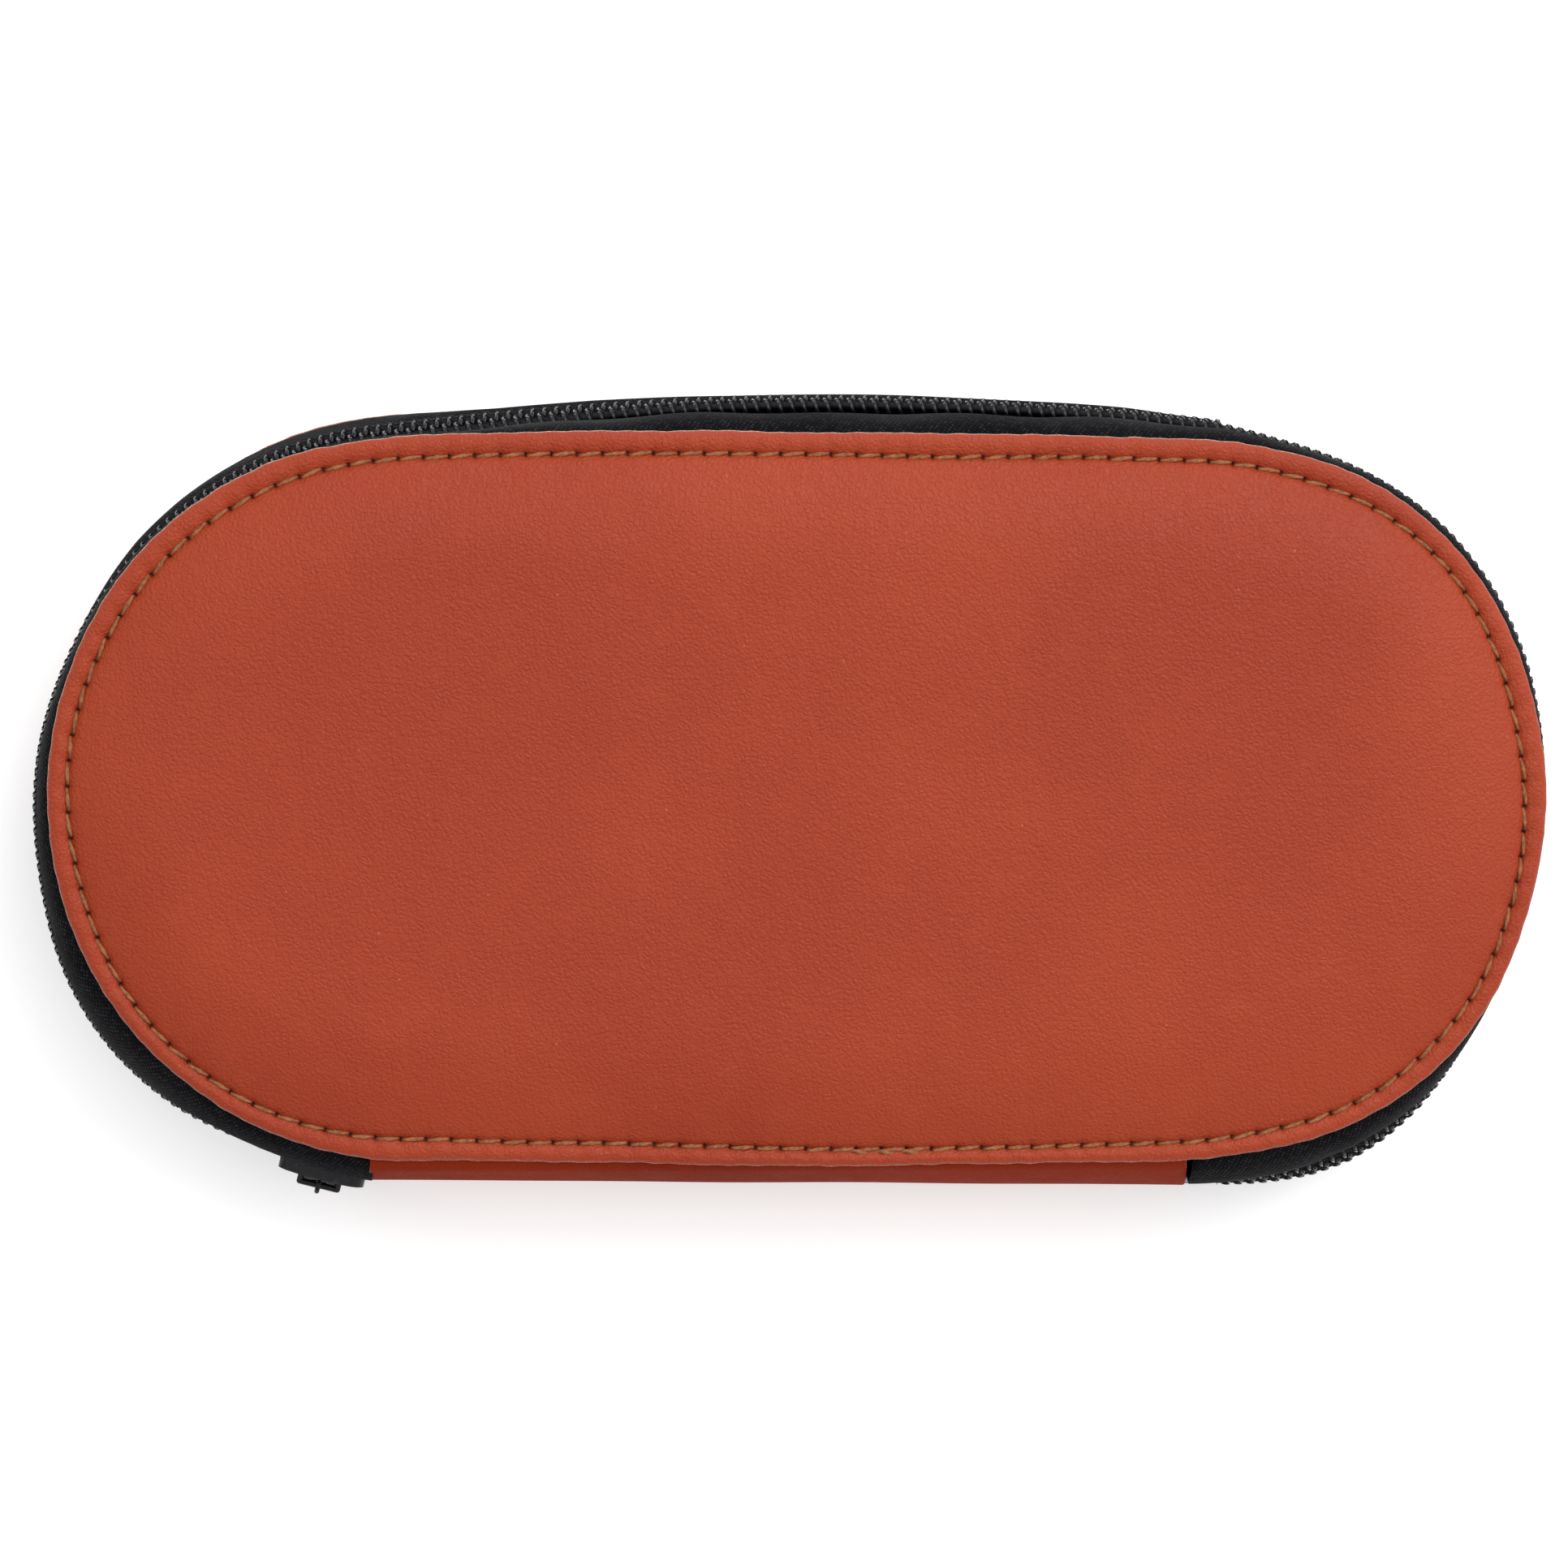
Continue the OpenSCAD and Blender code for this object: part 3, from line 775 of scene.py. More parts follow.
@dataclass
class ZipRun:
    """The zip's way round the case, with the outward swells and the tilt that the soft band takes."""

    centre_x: float = 45.9
    drop: float = 0.5
    radius: float = 46.0
    bow: float = 2.8
    start_turn: float = 7.52
    stop_turn: float = 1.137
    coil_t: float = 1.9
    chain_half_h: float = 0.95
    chain_half_w: float = 2.9
    left_swell: tuple = ((24, 0.0), (26, 0.1), (32, 0.78), (38, 1.42), (44, 1.78), (50, 1.92), (56, 1.85),
                         (62, 1.60), (68, 1.18), (74, 0.65), (80, 0.28), (86, 0.08), (92, -0.05),
                         (98, -0.15), (104, -0.38), (110, -0.6), (116, -0.72), (122, -0.75), (134, -0.75),
                         (146, -0.85), (158, -0.7), (173, -0.6))
    top_swell: tuple = ((-46, -0.6), (-28, -0.5), (0, -0.18), (20, -0.1), (36, 0.02), (41, 0.08),
                        (46, -0.05))
    right_swell: tuple = ((1, 2.2), (8, 2.8), (14, 3.6), (20, 4.4), (26, 4.75), (32, 4.5), (38, 3.9),
                          (44, 2.95), (50, 1.9), (56, 1.0), (62, 0.3), (68, 0.0), (80, -0.2), (92, -0.3),
                          (98, -0.2), (104, 0.0), (110, 0.28), (116, 0.46), (122, 0.62), (134, 0.62),
                          (140, 0.38), (146, 0.1), (152, -0.25), (158, -0.58), (164, -0.78), (170, -0.6),
                          (173, -0.35))
    left_tilt: tuple = ((24, 0), (44, 5), (90, 2), (110, 5), (130, 12), (150, 19), (173, 20))
    top_tilt: tuple = ((-46, 22), (-38, 20), (-28, 16), (-12, 11), (12, 10), (46, 7))
    right_tilt: tuple = ((1, 12), (10, 18), (20, 22), (32, 22), (50, 12), (70, 5), (110, 4), (150, 6),
                         (173, 7))
    left_shown: tuple = ((7, -0.72), (14, -0.7), (20, -0.42), (25, -0.42), (32, 0.12), (40, 0.42),
                         (60, 0.5), (80, 0.4), (98, 0.42), (110, 0.5), (122, 0.62), (134, 0.85),
                         (146, 1.35), (158, 1.9), (173, 2.3))
    top_shown: tuple = ((-46, 2.25), (-28, 2.0), (-12, 2.1), (0, 2.3), (12, 2.45), (28, 2.1), (38, 1.7),
                        (46, 1.1))
    right_shown: tuple = ((1, 0.5), (8, 0.85), (14, 1.4), (22, 2.0), (30, 1.9), (40, 1.2), (50, 0.7),
                          (70, 0.3), (110, 0.3), (150, 0.35), (165, 0.6), (173, 1.0))
    slumped: tuple = ((-89, 0.0), (-85, 0.15), (-80, 0.50), (-72, 0.42), (-64, 0.25), (-55, 0.05),
                      (-46, 0.50), (-36, 0.20), (-25, 0.30), (-8, 0.0))
    tilt_x: float = 0.072
    tilt_y: float = -0.0504
    near_x: float = 0.0016

    def __post_init__(self) -> None:
        """Works out the flat arc along the top from its bow."""
        rest = (self.bow**2 + self.centre_x**2) / (2 * self.bow)
        self.top_radius = self.radius + rest
        self.top_y = -self.drop + self.bow - rest
        self.top_half = math.degrees(math.asin(self.centre_x / rest))
        self.end_turn = 180 - self.top_half
        per_degree = math.radians(1) * self.radius
        self.left_length = (self.end_turn - self.start_turn) * per_degree
        self.top_length = 2 * math.radians(self.top_half) * self.top_radius
        self.right_length = (self.end_turn - self.stop_turn) * per_degree
        self.length = self.left_length + self.top_length + self.right_length

    def at_turn(self, turn: float) -> float:
        """Gives the distance along the zip of a turn on the left round end."""
        return math.radians(turn - self.start_turn) * self.radius

    def walk(self, s: np.ndarray) -> dict:
        """Follows the zip.

        Args:
            s: distances from its left end beside the strip, in mm.

        Returns:
            The points on the coil's outer face, the outward directions, the swell and the tilt in radians.
        """
        s = np.asarray(s, float)
        left = self.start_turn + np.degrees(s / self.radius)
        top = -self.top_half + np.degrees((s - self.left_length) / self.top_radius)
        right = self.end_turn - np.degrees((s - self.left_length - self.top_length) / self.radius)
        on_left, on_top = s <= self.left_length, s <= self.left_length + self.top_length

        def pick(at_left: np.ndarray, at_top: np.ndarray, at_right: np.ndarray) -> np.ndarray:
            """Takes each place's value from the stretch that it lies on."""
            return np.where(on_left[..., None], at_left, np.where(on_top[..., None], at_top, at_right))

        a, t, b = np.radians(left), np.radians(top), np.radians(right)
        out_left = np.stack([-np.sin(a), -np.cos(a)], -1)
        out_top = np.stack([np.sin(t), np.cos(t)], -1)
        out_right = np.stack([np.sin(b), -np.cos(b)], -1)
        p_left = np.array([-self.centre_x, -self.drop]) + self.radius * out_left
        p_top = np.array([0, self.top_y]) + self.top_radius * out_top
        p_right = np.array([self.centre_x, -self.drop]) + self.radius * out_right
        point, out = pick(p_left, p_top, p_right), pick(out_left, out_top, out_right)
        spread = {}
        for key in ("swell", "tilt", "shown"):
            knots = [np.array(getattr(self, f"{side}_{key}")).T for side in ("left", "top", "right")]
            along = [np.interp(at, *table) for at, table in zip((left, point[..., 0], right), knots)]
            spread[key] = pick(*(values[..., None] for values in along))[..., 0]
        return {"point": point, "out": out, "swell": spread["swell"], "tilt": np.radians(spread["tilt"]),
                "shown": spread["shown"]}

    def seen_shift(self, w: dict, rise: float) -> np.ndarray:
        """Gives how far outwards a place above the middle seems to lie, seen from the front.

        Args:
            w: what walk() gave.
            rise: how far the place lies above the case's middle.

        Returns:
            The seeming shift, in mm.
        """
        x = (w["point"][..., 0] * self.near_x + self.tilt_x) * w["out"][..., 0]
        y = (w["point"][..., 1] * self.near_x + self.tilt_y) * w["out"][..., 1]
        return rise * (x + y)

    def place(self, s: np.ndarray, r: np.ndarray, z: np.ndarray) -> np.ndarray:
        """Places points of the chain, which swells and tilts as a whole.

        Args:
            s: distances along the zip.
            r: distances outwards from the coil's outer face.
            z: heights above the case's back.

        Returns:
            The points, in mm.
        """
        w = self.walk(s)
        r2, z2 = self.turned(w, r, z)
        flat = w["point"] + w["out"] * r2[..., None]
        return np.concatenate([flat, np.broadcast_to(z2, r2.shape)[..., None]], -1)

    def turned(self, w: dict, r: np.ndarray, z: np.ndarray) -> tuple:
        """Swells and tilts places in the chain's own section.

        Args:
            w: what walk() gave.
            r: distances outwards from the coil's outer face.
            z: heights above the case's back.

        Returns:
            The new distances and heights.
        """
        half_h = self.chain_half_h
        cos, sin = np.cos(w["tilt"]), np.sin(w["tilt"])
        held = w["swell"] - (half_h * cos + self.chain_half_w * np.abs(sin) - half_h)
        dr, dz = r + half_h, z - MIDDLE
        return dr * cos - dz * sin - half_h + held, dz * cos + dr * sin + MIDDLE


ZIP = ZipRun()


# ---------------------------------------------------------------- the pieces


@dataclass
class PaddedCover:
    """One padded leather cover: crown, stitch valley, puffed rim and raw-cut edge."""

    half: Half
    crown: float = 2.62
    crown_power: float = 2.3
    crown_in: float = 17.4
    valley_at: float = 2.6
    valley: float = 0.42
    rim_top: float = 2.45
    rim_under: float = 3.7
    seat_r: float = 37.2
    seat: float = 3.14
    pitch_count: int = 146
    per_stitch: int = 8
    cut_lip: float = 0.08
    cut_round: float = 0.40
    cut_reach: float = 0.22
    puff: float = 0.16
    puff_at: float = 1.2
    ruck: float = 0.05
    pinch: float = 0.14
    pit: float = 0.45
    insets: tuple = (0.08, 0.16, 0.34, 0.55, 0.85, 1.2, 1.55, 1.85, 2.1, 2.28, 2.44, 2.6, 2.76, 2.92, 3.1,
                     3.35, 3.7, 4.2, 4.8, 5.6, 6.5, 7.6, 8.8, 10.2, 11.8, 13.5, 15.4, 17.5, 20.5, 24, 28,
                     32.5, 37, 41, 43.5)

    def height(self, inset: np.ndarray, share: np.ndarray) -> np.ndarray:
        """Gives how far the cover's face lies below the crown's top.

        Args:
            inset: distances inside the edge.
            share: how far round the outline.

        Returns:
            The drops, in mm.
        """
        rounded = self.cut_round * np.exp(-(inset - self.cut_lip) / self.cut_reach)
        puff = self.puff * hump(inset, self.puff_at, 0.75)
        t = np.clip((inset - self.valley_at) / (self.crown_in - self.valley_at), 0, 1)
        pad = self.crown * (1 - t) ** self.crown_power
        base = np.where(inset < self.valley_at, self.rim_top + 0.12 + rounded - puff, pad)
        step = (share * self.pitch_count) % 1.0
        line = hump(inset, self.valley_at, 0.42)
        pinch = hump(inset, self.valley_at, 0.9) * hump(np.abs(step - 0.5), 0.5, 0.16)
        ruck = self.ruck * np.cos(math.tau * step) * hump(inset, 1.5, 0.9)
        pits = self.pit * self.pits(inset, share)
        return base + self.valley * line * 0.7 + self.pinch * pinch + pits + ruck

    def pits(self, inset: np.ndarray, share: np.ndarray) -> np.ndarray:
        """Gives how deep a place lies in a needle hole, from 0 to 1."""
        step = (share * self.pitch_count) % 1.0
        return hump(np.abs(step - 0.5), 0.5, 0.105) * hump(inset, self.valley_at, 0.30)

    def points(self) -> tuple:
        """Gives the cover's closed form.

        Returns:
            The vertices in rings, and how many of the rings are its face.
        """
        n = self.pitch_count * self.per_stitch
        share = np.arange(n) / n
        front = self.half is Half.FRONT
        foot, out = OUTLINE.around(share, OUTLINE.radius - self.valley_at)
        seed = 3 if front else 8
        edge_x = foot[:, 0] + out[:, 0] * OUTLINE.radius
        edge_y = foot[:, 1] + out[:, 1] * OUTLINE.radius
        wobble = 0.06 * unevenness(edge_x, edge_y, 22, seed) + 0.035 * unevenness(edge_x, edge_y, 6, seed + 1)
        wobble += 0.03 * np.cos(math.tau * share * self.pitch_count)
        wander = OUTLINE.drift(share) if front else 0 * share
        seam = OUTLINE.seam_drift(share) if front else 0 * share
        seat_at = OUTLINE.radius - self.seat_r
        under = [(0.04, 3.1), (0.0, 3.35), (0.05, self.rim_under - 0.05), (0.2, self.rim_under),
                 (seat_at - 0.05, self.rim_under), (seat_at, self.seat)]
        under += [(d, self.seat) for d in (12, 20, 30, 40, OUTLINE.radius)]
        rings = []
        for inset in self.insets[::-1]:
            rings.append((inset, self.height(np.full(n, inset), share), True))
        rings += [(inset, np.full(n, drop), False) for inset, drop in under]
        made = []
        for inset, drop, face in rings:
            near = math.exp(-max(inset, 0) / 1.2)
            r = (OUTLINE.radius - inset) + wobble * near + wander * float(smooth(24, 3, np.array(inset)))
            if face:
                near_seam = smooth(0.2, self.valley_at - 0.4, inset) * smooth(24, 3.2, inset)
                r = r + seam * float(near_seam)
            xy = foot + out * r[:, None] if inset < OUTLINE.radius else foot
            lift = drop.copy()
            if face:
                fade = smooth(2.8, 9, np.array(inset))
                lift += fade * (0.13 * unevenness(xy[:, 0], xy[:, 1], 62, seed + 2)
                                + 0.035 * unevenness(xy[:, 0], xy[:, 1] * 0.35, 15, seed + 3))
                lift += 0.05 * (1 - fade) * unevenness(xy[:, 0], xy[:, 1], 9, seed + 4)
                lift = np.maximum(lift, 0.0)
            z = CASE_T - lift if front else lift
            dx, dy = LEAN.of(xy[:, 0], xy[:, 1], z)
            made.append(np.column_stack([xy[:, 0] + dx, xy[:, 1] + dy, z]))
        return np.array(made), len(self.insets)

    def pit_shade_marks(self, rings: np.ndarray) -> np.ndarray:
        """Marks the vertices that lie in needle holes, where the leather's colour is darkened as painted
        shade.
        """
        share = np.arange(rings.shape[1]) / rings.shape[1]
        marks = np.zeros(rings.shape[:2])
        for row, inset in enumerate(self.insets[::-1]):
            marks[row] = self.pits(np.full(share.shape, inset), share)
        return marks.reshape(-1, 1)

    def build(self, finishes: Finishes) -> None:
        """Makes the cover and its seam.

        Args:
            finishes: the case's finishes.
        """
        rings, face_rings = self.points()
        rows, cols = rings.shape[:2]
        faces = grid_faces(rows, cols, ring_cols=True)
        edge_rows = (face_rings - 1, face_rings + 1)
        index = [1 if edge_rows[0] <= i // cols <= edge_rows[1] else 0 for i in range(len(faces))]
        name = self.half.label
        cover = make_mesh(f"{name}_padded_cover", rings.reshape(-1, 3), faces, self.half,
                          [finishes.leather, finishes.edge], index, run=self.pit_shade_marks(rings), weld=True)
        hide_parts(f"{name}_cover", f"{name}_foam")
        LOG.info("%s: padded cover with %d faces", name, len(cover.data.polygons))
        Seam(self).build(finishes)


@dataclass
class Seam:
    """The lock-stitch seam round a cover, with the doubled stitches where it was tied off."""

    cover: PaddedCover
    thick: float = 0.25
    rings: int = 15
    sides: int = 10
    slant: float = -0.11
    tie_from: float = 4.6
    tie_count: int = 3
    twist: float = 2.6

    def stitch(self, share: float, stretch: float, out_by: float, lift: float, slant: float) -> tuple:
        """Shapes one stitch, whose ends dive into the needle holes.

        Args:
            share: how far round the outline its middle lies.
            stretch: its length as a part of the pitch.
            out_by: how far it lies outside the stitch line.
            lift: how far it is raised.
            slant: how far its far end lies outwards of its near end.

        Returns:
            Its vertices and the runs along and round the thread.
        """
        pitch = 1 / self.cover.pitch_count
        t = np.linspace(-1, 1, self.rings)
        shares = share + t * 0.5 * pitch * stretch
        foot, out = OUTLINE.around(shares, OUTLINE.radius - self.cover.valley_at)
        belly = np.sqrt(np.clip(1 - np.abs(t) ** 2.2, 0, 1))
        radius = self.thick * (0.42 + 0.58 * belly)
        inset = self.cover.valley_at - out_by - slant * np.sin(t * math.pi / 2)
        bed = self.cover.height(np.full(self.rings, self.cover.valley_at), np.full(self.rings, share))
        drop = bed - 0.16 - lift + 0.55 * (1 - belly)
        drift = OUTLINE.drift(shares) + OUTLINE.seam_drift(shares) if self.cover.half is Half.FRONT else 0
        centre = foot + out * (OUTLINE.radius - inset + drift)[:, None]
        ring = ring_turns(self.sides)
        twist = self.twist * t[:, None] + ring[None, :]
        ply = 1 + 0.13 * np.cos(2 * (ring[None, :] - self.twist * t[:, None]))
        side, up = np.cos(ring)[None, :] * ply, np.sin(ring)[None, :] * ply
        xy = centre[:, None, :] + out[:, None, :] * (side * radius[:, None])[..., None]
        height = -drop[:, None] + up * radius[:, None] * 0.9
        z = CASE_T + height if self.cover.half is Half.FRONT else -height
        dx, dy = LEAN.of(xy[..., 0], xy[..., 1], z)
        run = np.stack([np.broadcast_to(t[:, None] * 1.5, z.shape), twist * 0.3], -1)
        return np.stack([xy[..., 0] + dx, xy[..., 1] + dy, z], -1).reshape(-1, 3), run.reshape(-1, 2)

    def build(self, finishes: Finishes) -> None:
        """Makes the seam's thread.

        Args:
            finishes: the case's finishes.
        """
        rng = np.random.default_rng(41 if self.cover.half is Half.FRONT else 42)
        count = self.cover.pitch_count
        plan = [((k + 0.5) / count, 0.93 + rng.uniform(-0.03, 0.02), rng.uniform(-0.05, 0.05), 0.0,
                 self.slant + rng.uniform(-0.05, 0.05)) for k in range(count)]
        length = OUTLINE.length(OUTLINE.radius - self.cover.valley_at)
        for k in range(self.tie_count):
            plan.append(((self.tie_from + (k + 0.62) * length / count) / length, 0.9, 0.30, 0.16, 0.16))
        points, runs, faces = [], [], []
        per = self.rings * self.sides
        for k, one in enumerate(plan):
            p, run = self.stitch(*one)
            points.append(p)
            runs.append(run)
            faces += tube_faces(self.rings, self.sides, k * per)
        name = self.cover.half.label
        seam = make_mesh(f"{name}_lock_stitches", np.concatenate(points), faces, self.cover.half,
                         [finishes.thread], run=np.concatenate(runs))
        LOG.info("%s: seam of %d stitches", name, len(plan))


@dataclass
class ZipTape:
    """One woven tape: sewn under the rim, bent over its edge and leaning out to the chain."""

    half: Half
    thick: float = 0.6
    step: float = 1.1
    points_across: int = 26
    low_cut: float = 5.2
    tuck: float = -0.35
    behind_coil: float = -2.2
    past_coil: tuple = (3.35, 2.0, 0.95)
    glued_drop: float = 4.0
    belly_drop: float = 7.9
    park_turn: float = 23.3
    stub_low: float = 15.95
    stub_high: float = 19.9
    stub_points: int = 8

    def curve(self, s: np.ndarray) -> np.ndarray:
        """Gives the middle line of the tape's section at each place along the zip.

        Args:
            s: distances along the zip.

        Returns:
            Distances outwards and heights, one row of points for each place.
        """
        w = ZIP.walk(s)
        gap = OUTLINE.outside(w["point"])
        if self.half is Half.FRONT:
            gap = gap - OUTLINE.drift(OUTLINE.share_of(w["point"] - w["out"] * 2.5))
        else:
            dx, dy = LEAN.of(w["point"][:, 0], w["point"][:, 1], np.full(len(s), 3.7))
            gap = gap - (dx * w["out"][:, 0] + dy * w["out"][:, 1])
        behind = np.full(len(s), self.behind_coil)
        heel, parted, edge = (ZIP.turned(w, behind, MIDDLE + self.half.sign * np.full(len(s), off))
                              for off in self.past_coil)
        belly = self.belly(w, heel[0])
        glued, widest = self.level(s, self.glued_drop), self.level(s, self.belly_drop)
        knots = [(-gap - 5.2, glued), (-gap - 2.6, glued), (-gap - 0.6, self.level(s, 4.05)),
                 (-gap + 0.5 * (belly + gap), self.level(s, 5.3)), (belly, widest),
                 (0.72 * belly + 0.28 * heel[0], 0.42 * heel[1] + 0.58 * widest), heel, parted, edge]
        p = np.stack([np.stack([np.broadcast_to(a, s.shape), b], -1) for a, b in knots], 1)
        ends = np.concatenate([2 * p[:, :1] - p[:, 1:2], p, 2 * p[:, -1:] - p[:, -2:-1]], 1)
        return smooth_line(ends, self.points_across)

    def level(self, s: np.ndarray, drop: float) -> np.ndarray:
        """Gives the height that lies a drop inside this half's outer face, once for each place."""
        return np.full(len(s), MIDDLE + self.half.sign * (MIDDLE - drop))

    def belly(self, w: dict, heel: np.ndarray) -> np.ndarray:
        """Gives how far out the tape swells between the rim and the coil.

        Args:
            w: what the zip's walk() gave.
            heel: where the tape meets the coil.

        Returns:
            The distances outwards of the tape's middle line.
        """
        seed = 21 if self.half is Half.FRONT else 22
        wave = 0.22 * unevenness(w["point"][:, 0], w["point"][:, 1], 24, seed)
        if self.half is Half.FRONT:
            soft = smooth(0.3, 1.2, w["shown"])
            return w["swell"] - w["shown"] - ZIP.seen_shift(w, 7.1) - self.thick / 2 + wave * soft
        free = smooth(0.0, 0.6, w["shown"] + 0.05)
        slump = np.interp(w["point"][:, 0], *np.array(ZIP.slumped).T) * smooth(-5, 5, w["point"][:, 1])
        far = w["swell"] - 0.55 + np.minimum(-ZIP.seen_shift(w, -7.1), 0.35) + 0.5 * wave + slump
        return free * far + (1 - free) * (heel + 0.3)

    def skin(self, s: np.ndarray, line: np.ndarray) -> tuple:
        """Thickens rows of section lines into a closed form along the zip.

        Args:
            s: distances along the zip.
            line: rows of section points.

        Returns:
            Its vertices, faces and runs.
        """
        w = ZIP.walk(s)
        step = np.gradient(line, axis=1)
        side = np.stack([step[..., 1], -step[..., 0]], -1)
        side /= np.linalg.norm(side, axis=-1, keepdims=True) + 1e-9
        across = np.concatenate([np.zeros((len(s), 1)),
                                 np.cumsum(np.linalg.norm(np.diff(line, axis=1), axis=-1), 1)], 1)
        loops = []
        for offset, back in ((self.thick / 2, False), (-self.thick / 2, True)):
            part = line + side * offset
            loops.append((part[:, ::-1] if back else part, across[:, ::-1] if back else across))
        section = np.concatenate([loops[0][0], loops[1][0]], 1)
        width = np.concatenate([loops[0][1], loops[1][1]], 1)
        xy = w["point"][:, None, :] + w["out"][:, None, :] * section[..., 0:1]
        points = np.concatenate([xy, section[..., 1:2]], -1)
        run = np.stack([np.broadcast_to(s[:, None], width.shape), width], -1)
        return points.reshape(-1, 3), band_faces(*points.shape[:2]), run.reshape(-1, 2)

    def rows(self, start: float, stop: float) -> np.ndarray:
        """Gives even steps between two distances along the zip."""
        return np.linspace(start, stop, max(int((stop - start) / self.step), 4))

    def build(self, finishes: Finishes) -> None:
        """Makes the tape, and on the front also the end that the parked slider holds.

        Args:
            finishes: the case's finishes.
        """
        if self.half is Half.FRONT:
            self.build_parted(finishes)
            return
        s = self.rows(self.tuck, ZIP.length)
        points, faces, run = self.skin(s, self.curve(s))
        tape = make_mesh("back_woven_tape", points, faces, self.half, [finishes.tape], run=run)
        self.dress(tape, "back_tape")

    def build_parted(self, finishes: Finishes) -> None:
        """Makes the lid's tape, low where the parked slider is, and the end that stays with the slider.

        Args:
            finishes: the case's finishes.
        """
        park = ZIP.at_turn(self.park_turn)
        near = self.rows(self.tuck, park)
        far = self.rows(park, ZIP.length)
        short = self.shorten(self.curve(near), MIDDLE + self.low_cut)
        low_points, low_faces, low_run = self.skin(near, short)
        points, faces, run = self.skin(far, self.curve(far))
        joined = low_faces + [[i + len(low_points) for i in f] for f in faces]
        tape = make_mesh("front_woven_tape", np.concatenate([low_points, points]), joined, self.half,
                         [finishes.tape], run=np.concatenate([low_run, run]))
        self.dress(tape, "front_tape")
        end = self.rows(0.2, park - 0.35)
        shape = (len(end), self.stub_points)
        heights = np.linspace(self.stub_low, self.stub_high, self.stub_points)
        stub = np.stack([np.full(shape, self.behind_coil), np.broadcast_to(heights, shape)], -1)
        points, faces, run = self.skin(end, stub)
        piece = make_mesh("front_tape_parked_end", points, faces, Half.BACK, [finishes.tape], run=run)
        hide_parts("front_tape_end")

    def shorten(self, line: np.ndarray, lowest: float) -> np.ndarray:
        """Ends rows of section lines at a height.

        Args:
            line: rows of section points that run downwards.
            lowest: the height at which they end.

        Returns:
            Rows of as many points that stay above it.
        """
        made = np.empty_like(line)
        for i, row in enumerate(line):
            keep = np.argmax(row[:, 1] < lowest)
            share = (row[keep - 1, 1] - lowest) / (row[keep - 1, 1] - row[keep, 1])
            u = np.linspace(0, keep - 1 + share, len(row))
            made[i] = np.stack([np.interp(u, np.arange(len(row)), row[:, k]) for k in (0, 1)], -1)
        return made

    def dress(self, tape: bpy.types.Object, node: str) -> None:
        """Hides the solid that a tape stands for and logs the tape's faces."""
        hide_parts(node)
        LOG.info("%s: %d faces", tape.name, len(tape.data.polygons))


